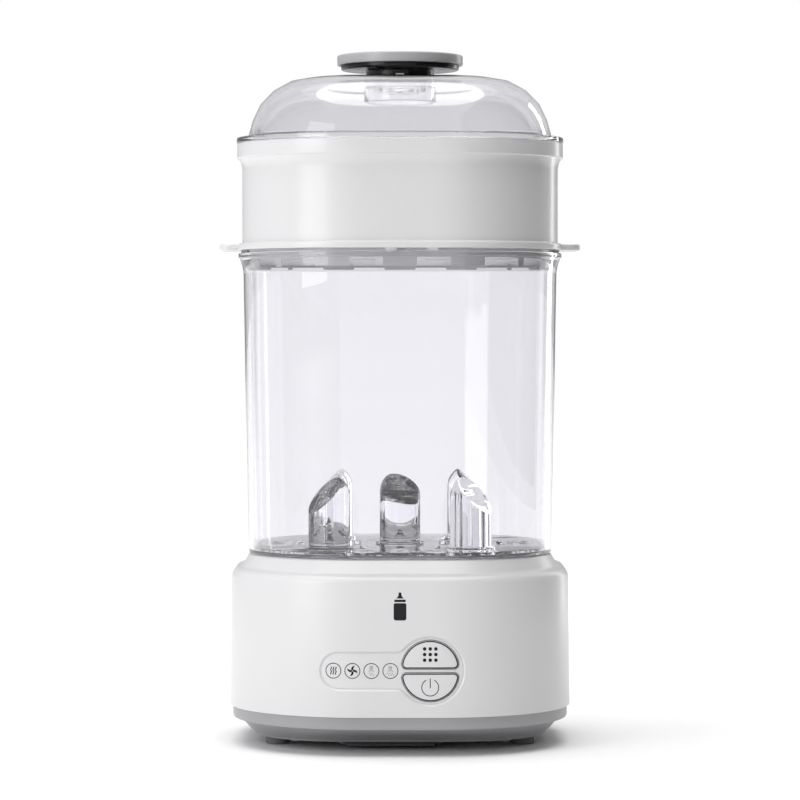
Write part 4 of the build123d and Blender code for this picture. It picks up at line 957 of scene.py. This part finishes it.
class STERILIZER_OT_gland(bpy.types.Operator):
    """Rubber bush for the mains lead in the rear wall"""

    bl_idname = "sterilizer.gland"
    bl_label = "Cord gland"

    def execute(self, context):
        flange, end = half("cord_gland"), high("cord_gland", 1)
        bush = sweep_round([(3.6 * MM, end - 5 * MM, 0), (3.6 * MM, end, 0.4 * MM),
                            (5.4 * MM, end, 0.2 * MM), (5.8 * MM, end - 0.5 * MM, 0.2 * MM),
                            (flange - 1.4 * MM, end - 0.5 * MM, 0.2 * MM),
                            (flange - MM, end, 0.2 * MM), (flange, end, 0.5 * MM),
                            (flange, end - 1.4 * MM, 0.1 * MM), (5.4 * MM, end - 1.4 * MM, 0),
                            (5.4 * MM, end - 5 * MM, 0)], 64)
        bmesh.ops.rotate(bush, verts=bush.verts, cent=(0, 0, 0),
                         matrix=Matrix.Rotation(-math.pi / 2, 3, "X"))
        bmesh.ops.translate(bush, verts=bush.verts, vec=(0, 0, middle("cord_gland", 2)))
        make_piece("gland", bush, "base", finish("foot rubber"), ["cord_gland"])
        return {"FINISHED"}


class STERILIZER_OT_dish(bpy.types.Operator):
    """Steel water dish, its seal and the hooded air outlet"""

    bl_idname = "sterilizer.dish"
    bl_label = "Water dish and outlet"

    def execute(self, context):
        size = sizes()
        y, rim, radius = middle("heating_plate"), high("heating_plate"), half("heating_plate")
        base, thick = low("heating_plate"), 0.8 * MM
        bore = radius - 6 * MM
        dish = sweep_round([(0, base, 0), (bore + thick, base, 3 * MM),
                            (bore + thick, rim - thick, 0.2 * MM), (radius, rim - thick, 0.3 * MM),
                            (radius, rim, 0.3 * MM), (bore, rim, 0.8 * MM),
                            (bore, base + thick, 2.2 * MM), (0, base + thick, 0)], 96, (0, y))
        make_piece("water_dish", dish, "base", finish("brushed steel"), ["heating_plate"])
        wide = half("plate_seal")
        inner = radius - size.dish_lip
        seal = sweep_round([(inner, low("plate_seal") + HAIR, 0.2 * MM),
                            (wide, low("plate_seal") + HAIR, 0.4 * MM),
                            (wide, high("plate_seal") - HAIR, 0.4 * MM),
                            (inner, high("plate_seal") - HAIR, 0.2 * MM)], 96, (0, y))
        make_piece("dish_seal", seal, "base", finish("silicone"), ["plate_seal"])
        left, right = low("air_outlet", 0), high("air_outlet", 0)
        front, back = low("air_outlet", 1), high("air_outlet", 1)
        deck, top = low("air_outlet") + HAIR, high("air_outlet")
        centre = (front + back) / 2
        hood = stack((right, 8 * MM, 6 * MM, deck), (right, 8 * MM, 6 * MM, top - 3 * MM),
                     (right - 0.9 * MM, 7.1 * MM, 5.1 * MM, top - 0.9 * MM),
                     (right - 3 * MM, 5 * MM, 3 * MM, top))
        bmesh.ops.translate(hood, verts=hood.verts, vec=(0, centre, 0))
        hollow = box_mesh((left + 3 * MM, centre - 5 * MM, deck - MM),
                          (right - 3 * MM, centre + 5 * MM, top - 1.8 * MM))
        slots = [box_mesh(((-26.6 + 8 * i) * MM, front - MM, deck + 2.4 * MM),
                          ((-21.4 + 8 * i) * MM, centre - 4 * MM, deck + 7 * MM)) for i in range(7)]
        hood = combine(hood, "DIFFERENCE", hollow, *slots)
        make_piece("outlet_hood", hood, "base", finish("white housing plastic"), ["air_outlet"])
        return {"FINISHED"}


# ---------------------------------------------------------------- chamber, rack, tray and lid
class STERILIZER_OT_chamber(bpy.types.Operator):
    """Clear bottle chamber with its rim, floor ledge and locating skirt"""

    bl_idname = "sterilizer.chamber"
    bl_label = "Bottle chamber"

    def execute(self, context):
        size = sizes()
        seat_z, top = high("base_housing"), high("bottle_chamber")
        rim, wall = half("bottle_chamber"), size.clear_wall
        rim_z, ledge_z = top - 2.6 * MM, low("bottle_rack")
        foot, upper = rim - 5.4 * MM, rim - 2.6 * MM
        skirt = foot - 4 * MM
        bottom = low("bottle_chamber")
        bm = sweep_square([
            (foot, seat_z + HAIR, 0.8 * MM), (upper - 0.1 * MM, rim_z - 6 * MM, 3 * MM),
            (rim - 0.6 * MM, rim_z, 0.3 * MM), (rim, rim_z, 0.3 * MM), (rim, top, 0.6 * MM),
            (upper - wall, top, 0.6 * MM), (foot - wall, ledge_z - HAIR, 1.0 * MM),
            (74 * MM, ledge_z - HAIR, 0.3 * MM), (74 * MM, seat_z, 0.3 * MM),
            (skirt - 2 * MM, seat_z, 0.4 * MM), (skirt - 2 * MM, bottom, 0.4 * MM),
            (skirt, bottom, 0.4 * MM), (skirt, seat_z + HAIR, 0.3 * MM)])
        make_piece("chamber_wall", bm, "chamber", finish("clear plastic"), ["bottle_chamber"],
                   40)
        return {"FINISHED"}


class STERILIZER_OT_rack(bpy.types.Operator):
    """Clear grate with five hollow bottle pegs"""

    bl_idname = "sterilizer.rack"
    bl_label = "Bottle rack"

    def peg(self, x, y, turn, floor):
        """Hollow domed peg whose slanted mouth faces along turn, in degrees."""
        radius, wall, straight = 11.3 * MM, 1.8 * MM, 28.6 * MM
        inner = radius - wall
        profile = bmesh.new()
        path = [(inner, -1.7 * MM), (inner, straight)]
        verts = [profile.verts.new((across, 0, up)) for across, up in path]
        profile.edges.new(verts)
        bore = bmesh.ops.spin(profile, geom=[verts[-1]], cent=(0, 0, straight), axis=(0, -1, 0),
                              angle=math.pi / 2, steps=12)
        skin = profile.verts.new((radius, 0, straight))
        crown = bmesh.ops.spin(profile, geom=[skin], cent=(0, 0, straight), axis=(0, -1, 0),
                               angle=math.pi / 2, steps=12)
        last = skin
        for across, up in ((radius, 1.8 * MM), (radius + 0.25 * MM, 1.35 * MM),
                           (radius + 0.7 * MM, 1.2 * MM), (radius + 1.9 * MM, 1.2 * MM),
                           (radius + 2.2 * MM, 0.9 * MM), (radius + 2.2 * MM, -0.5 * MM),
                           (inner + 0.6 * MM, -0.5 * MM), (inner + 0.6 * MM, -1.7 * MM)):
            fresh = profile.verts.new((across, 0, up))
            profile.edges.new((last, fresh))
            last = fresh
        profile.edges.new((last, verts[0]))
        top_in = verts_of(bore["geom_last"])[0]
        top_out = verts_of(crown["geom_last"])[0]
        top_in.co.x = top_out.co.x = 0
        bmesh.ops.remove_doubles(profile, verts=profile.verts, dist=1e-7)
        bmesh.ops.spin(profile, geom=[*profile.verts, *profile.edges], cent=(0, 0, 0),
                       axis=(0, 0, 1), angle=2 * math.pi, steps=64, use_merge=True)
        bmesh.ops.remove_doubles(profile, verts=profile.verts, dist=1e-6)
        lean = math.radians(48)
        out = bmesh.ops.bisect_plane(
            profile, geom=[*profile.verts, *profile.edges, *profile.faces], dist=1e-7,
            plane_co=(radius, 0, 19.4 * MM), plane_no=(math.sin(lean), 0, math.cos(lean)),
            clear_outer=True)
        rims = [edge for edge in out["geom_cut"] if isinstance(edge, bmesh.types.BMEdge)]
        bridged = bmesh.ops.bridge_loops(profile, edges=rims)["faces"]
        mouth = list({edge for face in bridged for edge in face.edges
                      if edge.calc_face_angle(0) > math.radians(25)})
        bmesh.ops.bevel(profile, geom=mouth, offset=0.45 * MM, offset_type="OFFSET", segments=3,
                        profile=0.5, affect="EDGES", clamp_overlap=True, material=-1)
        bmesh.ops.rotate(profile, verts=profile.verts, cent=(0, 0, 0),
                         matrix=Matrix.Rotation(math.radians(turn), 3, "Z"))
        bmesh.ops.translate(profile, verts=profile.verts, vec=(x, y, floor))
        return profile

    def execute(self, context):
        base, wide = low("bottle_rack"), half("bottle_rack")
        floor = base + 2 * MM
        pegs = [(-38.5, -45, 208), (-38.5, 45, 163), (38.5, -45, -28), (38.5, 45, 17), (0, 0, 60)]
        plate_bm = slab(wide, base, floor, 0.35 * MM)
        cutters = [drum(10.6 * MM, base - MM, floor + MM, (x * MM, y * MM), 64)
                   for x, y, _ in pegs]

        def slot(left, right, front, back):
            box = box_mesh((left * MM, front * MM, base - MM), (right * MM, back * MM, floor + MM))
            upright = [edge for edge in box.edges
                       if abs(edge.verts[0].co.z - edge.verts[1].co.z) > MM]
            bmesh.ops.bevel(box, geom=upright, offset=1.2 * MM, offset_type="OFFSET", segments=4,
                            profile=0.5, affect="EDGES", material=-1)
            cutters.append(box)

        for side in (-1, 1):
            for offset in (-9, 0, 9):
                slot(*sorted((side * 60, side * 72)), offset - 2, offset + 2)
            for x in (-19, 0, 19):
                for y in (62, 68):
                    slot(x - 6, x + 6, side * y - 1.4, side * y + 1.4)
            for x in (-20, 0, 20):
                slot(x - 2, x + 2, side * 38 - 12, side * 38 + 12)
        for x in (-56, -40, -24, 24, 40, 56):
            slot(x - 2, x + 2, -17, 17)
        bm = combine(plate_bm, "DIFFERENCE", *cutters)
        shapes = [self.peg(x * MM, y * MM, turn, floor) for x, y, turn in pegs]
        bm = combine(bm, "UNION", *shapes)
        make_piece("rack", bm, "rack", finish("thin clear plastic"), ["bottle_rack"],
                   40)
        return {"FINISHED"}


class STERILIZER_OT_tray(bpy.types.Operator):
    """White upper tray with its flange, finger tabs, slotted floor and notched skirt"""

    bl_idname = "sterilizer.tray"
    bl_label = "Upper tray"

    def execute(self, context):
        size = sizes()
        top = high("upper_tray")
        flange_z = top - 58.8 * MM
        flange, rim = half("upper_tray", 1) - 0.7 * MM, half("upper_tray", 1)
        wall, core = size.wall, 2 * size.flat
        side = flange - 2.1 * MM
        rim_z = top - 8.4 * MM
        bm = cap_holes(sweep_square([
            (core, flange_z, 0), (flange, flange_z, 0.6 * MM), (flange, flange_z + 3.7 * MM, 0.9 * MM),
            (side, flange_z + 3.7 * MM, 0.8 * MM), (side, rim_z - 4.5 * MM, 2 * MM),
            (side + 1.6 * MM, rim_z, 0.3 * MM), (rim, rim_z, 0.5 * MM), (rim, top, 0.9 * MM),
            (side - wall, top, 0.7 * MM), (side - wall, flange_z + wall, 2 * MM),
            (core, flange_z + wall, 0)], closed=False))
        tab = box_mesh((low("upper_tray", 0), -23 * MM, flange_z + 0.05 * MM),
                       (high("upper_tray", 0), 23 * MM, flange_z + 3.3 * MM))
        upright = [edge for edge in tab.edges
                   if abs(edge.verts[0].co.z - edge.verts[1].co.z) > MM]
        bmesh.ops.bevel(tab, geom=upright, offset=6 * MM, offset_type="OFFSET", segments=8,
                        profile=0.5, affect="EDGES", material=-1)
        tab = soften(tab, 0.8 * MM, 60, 3)
        skirt_wide = 83.2 * MM
        skirt = sweep_square([(skirt_wide - 2 * MM, low("upper_tray"), 0.4 * MM),
                              (skirt_wide, low("upper_tray"), 0.4 * MM),
                              (skirt_wide, flange_z + MM, 0),
                              (skirt_wide - 2 * MM, flange_z + MM, 0)])
        notches = []
        for place in (-54, -18, 18, 54):
            for turned in (False, True):
                corner = Vector((9 * MM, 0.1, 0))
                centre = Vector((place * MM, 0, 0))
                if turned:
                    corner, centre = corner.yxz, centre.yxz
                corner.z = flange_z - 4 * MM
                start = centre - corner
                start.z = low("upper_tray") - MM
                notches.append(box_mesh(start, centre + corner))
        skirt = combine(skirt, "DIFFERENCE", *notches)
        nubs = []
        nub_low = high("bottle_chamber") + HAIR
        for end in (-1, 1):
            for x in (-5, 17.5):
                near, far = sorted((end * 84.8 * MM, end * 88 * MM))
                nubs.append(box_mesh(((x - 3) * MM, near, nub_low),
                                     ((x + 3) * MM, far, flange_z + MM)))
            near, far = sorted((end * 84.8 * MM, end * 88 * MM))
            nubs.append(box_mesh((near, -16 * MM, nub_low), (far, 16 * MM, flange_z + MM)))
        bm = combine(bm, "UNION", tab, skirt, *nubs)
        inside = slab(side - wall - 0.01 * MM, flange_z + wall, flange_z + 10 * MM)
        slots = [inside]
        for row in range(-3, 4):
            for column in range(-3, 4):
                if abs(row) + abs(column) < 6:
                    x, y = column * 20 * MM, row * 20 * MM
                    slot = box_mesh((x - 7 * MM, y - 2 * MM, flange_z - MM),
                                    (x + 7 * MM, y + 2 * MM, flange_z + wall + MM))
                    upright = [edge for edge in slot.edges
                               if abs(edge.verts[0].co.z - edge.verts[1].co.z) > MM]
                    bmesh.ops.bevel(slot, geom=upright, offset=1.9 * MM, offset_type="OFFSET",
                                    segments=5, profile=0.5, affect="EDGES", material=-1)
                    slots.append(slot)
        bm = combine(bm, "DIFFERENCE", *slots)
        make_piece("tray_shell", bm, "tray", finish("white tray plastic"), ["upper_tray"],
                   30)
        return {"FINISHED"}


class STERILIZER_OT_lid(bpy.types.Operator):
    """Clear domed lid with its flange, skirt, drip ring and steam holes"""

    bl_idname = "sterilizer.lid"
    bl_label = "Lid"

    def execute(self, context):
        size = sizes()
        base, flange = high("upper_tray"), half("lid_dome")
        foot_z, top = base + 2.9 * MM, high("lid_dome")
        wall, core = size.clear_wall, 2 * size.flat
        lean = math.tan(math.radians(15.5))
        wide = flange - 6.1 * MM
        crown = wide - (top - foot_z) * lean
        inset = wall / math.cos(math.radians(15.5))
        skirt = high("upper_tray", 1) - 0.7 * MM - 2.1 * MM - size.wall - size.slide_gap
        skirt_in = wide - wall - 0.1 * MM
        bm = draw_lid([
            (core, top, 0), (crown, top, 24 * MM), (wide, foot_z, 0.8 * MM),
            (flange, foot_z, 0.5 * MM), (flange, base + HAIR, 0.5 * MM), (skirt, base + HAIR, 0.3 * MM),
            (skirt, low("lid_dome"), 0.6 * MM), (skirt_in - 0.1 * MM, low("lid_dome"), 0.4 * MM),
            (wide - inset, foot_z, 1.0 * MM), (crown - inset, top - wall, 21.6 * MM),
            (core, top - wall, 0)])
        ring_low = top - 11.4 * MM
        ring = sweep_round([(18.2 * MM, ring_low, 0.5 * MM), (20 * MM, ring_low, 0.5 * MM),
                            (20 * MM, top - 1.2 * MM, 0), (18.2 * MM, top - 1.2 * MM, 0)], 96)
        boss = sweep_round([(0, top - 1.2 * MM, 0), (34.4 * MM, top - 1.2 * MM, 0),
                            (33.5 * MM, top - HAIR, 0.3 * MM), (0, top - HAIR, 0)], 96)
        bm = combine(bm, "UNION", ring)
        boss.free()
        recess = drum(41 * MM, top - wall - MM, top - wall + 0.8 * MM, steps=96)
        keep = drum(20.01 * MM, top - wall - 2 * MM, top, steps=96)
        recess = combine(recess, "DIFFERENCE", keep)
        holes = []
        for i in range(6):
            angle = math.radians(30 + 60 * i)
            holes.append(drum(2 * MM, top - 4 * MM, top + MM,
                              (7 * MM * math.cos(angle), 7 * MM * math.sin(angle)), 24))
        for x in (-12 * MM, 12 * MM):
            holes.append(drum(1.6 * MM, top - 4 * MM, top + MM, (x, 0), 24))
        bm = combine(bm, "DIFFERENCE", recess, *holes)
        make_piece("lid_shell", bm, "lid", finish("clear plastic"), ["lid_dome"],
                   40)
        return {"FINISHED"}


def draw_lid(points):
    """Sweeps an open profile round and closes it at both ends."""
    return cap_holes(sweep_square(points, closed=False))


class STERILIZER_OT_knob(bpy.types.Operator):
    """Gloss black stem with its steam slots, and the grey cap over its disc"""

    bl_idname = "sterilizer.knob"
    bl_label = "Knob"

    def execute(self, context):
        base, stem_top = low("knob_stem") + HAIR, high("knob_stem") - 3.4 * MM
        grip, top = half("knob_stem"), high("knob_stem")
        stem = sweep_round([(16.5 * MM, base, 0.3 * MM), (18.9 * MM, base, 0.5 * MM),
                            (18.9 * MM, stem_top, 1.0 * MM), (grip - HAIR, stem_top, 1.2 * MM),
                            (grip - HAIR, top - HAIR, 0.2 * MM), (0, top - HAIR, 0), (0, stem_top, 0),
                            (16.5 * MM, stem_top, 0.5 * MM)], 96)
        cutters = []
        for rise in (1.1, 2.9):
            low_z = low("knob_stem") + rise * MM
            cutters.append(box_mesh((-2.25 * MM, -20 * MM, low_z),
                                    (2.25 * MM, -10 * MM, low_z + 0.8 * MM)))
        cutters.append(box_mesh((-2.6 * MM, 10 * MM, base + 1.2 * MM),
                                (2.6 * MM, 20 * MM, stem_top - 0.2 * MM)))
        cutters.append(box_mesh((-9.2 * MM, -20 * MM, base - MM),
                                (-8.2 * MM, -17.9 * MM, base + 1.6 * MM)))
        stem = combine(stem, "DIFFERENCE", *cutters)
        for x in (-12 * MM, 12 * MM):
            join(stem, sweep_round([(1.2 * MM, base, 0.1 * MM), (3.2 * MM, base, 0.3 * MM),
                                    (3.2 * MM, stem_top + 0.2 * MM, 0),
                                    (1.2 * MM, stem_top + 0.2 * MM, 0)], 32, (x, 0)))
        make_piece("knob_base", stem, "lid", finish("gloss black plastic"), ["knob_stem"],
                   35)
        cap_low, cap_top, wide = low("knob_cap"), high("knob_cap"), half("knob_cap")
        cap = sweep_round([(grip, cap_low, 0.3 * MM), (wide, cap_low, 0.5 * MM),
                           (wide, cap_top, 1.0 * MM), (wide - 3.2 * MM, cap_top - 0.05 * MM, 1 * MM),
                           (wide - 4.5 * MM, cap_top - 0.5 * MM, 2 * MM),
                           (0, cap_top - 0.9 * MM, 0), (0, top, 0), (grip, top, 0.1 * MM)], 128)
        make_piece("knob_top", cap, "lid", finish("pale grey plastic"), ["knob_cap"], 30)
        return {"FINISHED"}


class STERILIZER_OT_inner_parts(bpy.types.Operator):
    """Finishes on the blower, heater, boards and other parts inside the base"""

    bl_idname = "sterilizer.inner_parts"
    bl_label = "Inner parts"

    def execute(self, context):
        slots = {part["node"]: part["material_slot"] for part in frame["record"]["subparts"]}
        for name, obj in frame["nodes"].items():
            obj.data.materials.clear()
            obj.data.materials.append(finish(SLOT_FINISH[slots[name]]))
            obj.data.polygons.foreach_set("use_smooth", [True] * len(obj.data.polygons))
            obj.data.set_sharp_from_angle(angle=math.radians(30))
        return {"FINISHED"}


# ---------------------------------------------------------------- studio
def soft_box(name, place, target, wide, tall, power):
    light = bpy.data.lights.new(name, "AREA")
    light.shape = "RECTANGLE"
    light.size, light.size_y = wide, tall
    light.energy = power
    obj = bpy.data.objects.new(name, light)
    obj.location = place
    obj.rotation_euler = (Vector(target) - Vector(place)).to_track_quat("-Z", "Y").to_euler()
    bpy.context.scene.collection.objects.link(obj)
    return obj


class STERILIZER_OT_studio(bpy.types.Operator):
    """Pale floor, soft lights, bright surroundings and the camera"""

    bl_idname = "sterilizer.studio"
    bl_label = "Studio"

    def execute(self, context):
        scene = context.scene
        bm = bmesh.new()
        bmesh.ops.create_grid(bm, x_segments=4, y_segments=4, size=6)
        mesh = bpy.data.meshes.new("floor")
        bm.to_mesh(mesh)
        bm.free()
        floor = bpy.data.objects.new("floor", mesh)
        scene.collection.objects.link(floor)
        material, tree, shader, place = new_material("pale floor", (0.93, 0.93, 0.93), 0.6)
        tint(tree, noise(tree, place, 3.0), shader, (0.92, 0.92, 0.92), (0.94, 0.94, 0.94))
        mesh.materials.append(material)
        lights = [
            soft_box("overhead", (0, 0, 1.7), (0, 0, 0), 1.8, 1.8, 5),
            soft_box("key", (-1.2, -1.1, 0.7), (0, 0, 0.2), 0.8, 1.2, 9.5),
            soft_box("rim", (0.75, 0.85, 0.4), (0, 0, 0.2), 0.12, 0.9, 1.6),
        ]
        sun = bpy.data.lights.new("ceiling", "SUN")
        sun.energy = 2.5
        sun.angle = math.radians(60)
        ceiling = bpy.data.objects.new("ceiling", sun)
        ceiling.location = (0, 0, 2)
        scene.collection.objects.link(ceiling)
        lights.append(ceiling)
        bm = bmesh.new()
        turn = Matrix.Rotation(math.pi / 2, 4, "Y")
        bmesh.ops.create_grid(bm, x_segments=2, y_segments=2, size=0.5,
                              matrix=Matrix.Translation((0.46, -0.35, 0.56)) @ turn)
        mesh = bpy.data.meshes.new("dark_card")
        bm.to_mesh(mesh)
        bm.free()
        card = bpy.data.objects.new("dark_card", mesh)
        scene.collection.objects.link(card)
        mesh.materials.append(finish("phenolic"))
        card.visible_camera = False
        world = bpy.data.worlds.new("studio")
        scene.world = world
        world.use_nodes = True
        tree = world.node_tree
        lit = tree.nodes["Background"]
        lit.inputs["Color"].default_value = (0.98, 0.98, 1.0, 1)
        lit.inputs["Strength"].default_value = 0.46
        seen = tree.nodes.new("ShaderNodeBackground")
        seen.inputs["Color"].default_value = (1, 1, 1, 1)
        seen.inputs["Strength"].default_value = 1.0
        path = tree.nodes.new("ShaderNodeLightPath")
        through = tree.nodes.new("ShaderNodeMath")
        through.operation = "MULTIPLY_ADD"
        through.inputs[1].default_value = 0.75
        tree.links.new(path.outputs["Is Transmission Ray"], through.inputs[0])
        tree.links.new(path.outputs["Is Camera Ray"], through.inputs[2])
        mix = tree.nodes.new("ShaderNodeMixShader")
        tree.links.new(through.outputs["Value"], mix.inputs["Fac"])
        tree.links.new(lit.outputs["Background"], mix.inputs[1])
        tree.links.new(seen.outputs["Background"], mix.inputs[2])
        tree.links.new(mix.outputs["Shader"], tree.nodes["World Output"].inputs["Surface"])
        camera_data = bpy.data.cameras.new("camera")
        camera = bpy.data.objects.new("camera", camera_data)
        camera_data.lens, camera_data.sensor_width = 153, 36
        camera_data.dof.use_dof = False
        camera_data.clip_start = 0.05
        camera.location = (0, -1.9, 0.2305)
        camera.rotation_euler = (math.radians(88.736), 0, 0)
        scene.collection.objects.link(camera)
        scene.camera = camera
        scene.view_settings.view_transform = "Standard"
        return {"FINISHED"}


class STERILIZER_PT_sidebar(bpy.types.Panel):
    """Lists the steps that build the sterilizer"""

    bl_idname = "STERILIZER_PT_sidebar"
    bl_label = "Bottle Sterilizer"
    bl_space_type = "VIEW_3D"
    bl_region_type = "UI"
    bl_category = "Sterilizer"

    def draw(self, context):
        for step in STEPS:
            self.layout.operator(step.bl_idname)


STEPS = (
    STERILIZER_OT_inner_parts,
    STERILIZER_OT_housing,
    STERILIZER_OT_tub,
    STERILIZER_OT_feet,
    STERILIZER_OT_filter_cover,
    STERILIZER_OT_panel,
    STERILIZER_OT_gland,
    STERILIZER_OT_dish,
    STERILIZER_OT_chamber,
    STERILIZER_OT_rack,
    STERILIZER_OT_tray,
    STERILIZER_OT_lid,
    STERILIZER_OT_knob,
    STERILIZER_OT_studio,
)
CLASSES = (STERILIZER_PG_sizes, STERILIZER_PG_colours, *STEPS, STERILIZER_PT_sidebar)


def register():
    for cls in CLASSES:
        bpy.utils.register_class(cls)
    bpy.types.Scene.sterilizer_sizes = PointerProperty(type=STERILIZER_PG_sizes)
    bpy.types.Scene.sterilizer_colours = PointerProperty(type=STERILIZER_PG_colours)


def unregister():
    del bpy.types.Scene.sterilizer_colours
    del bpy.types.Scene.sterilizer_sizes
    for cls in reversed(CLASSES):
        bpy.utils.unregister_class(cls)


def main():
    register()
    for step in STEPS:
        group, name = step.bl_idname.split(".")
        getattr(getattr(bpy.ops, group), name)()


if __name__ == "__main__":
    main()
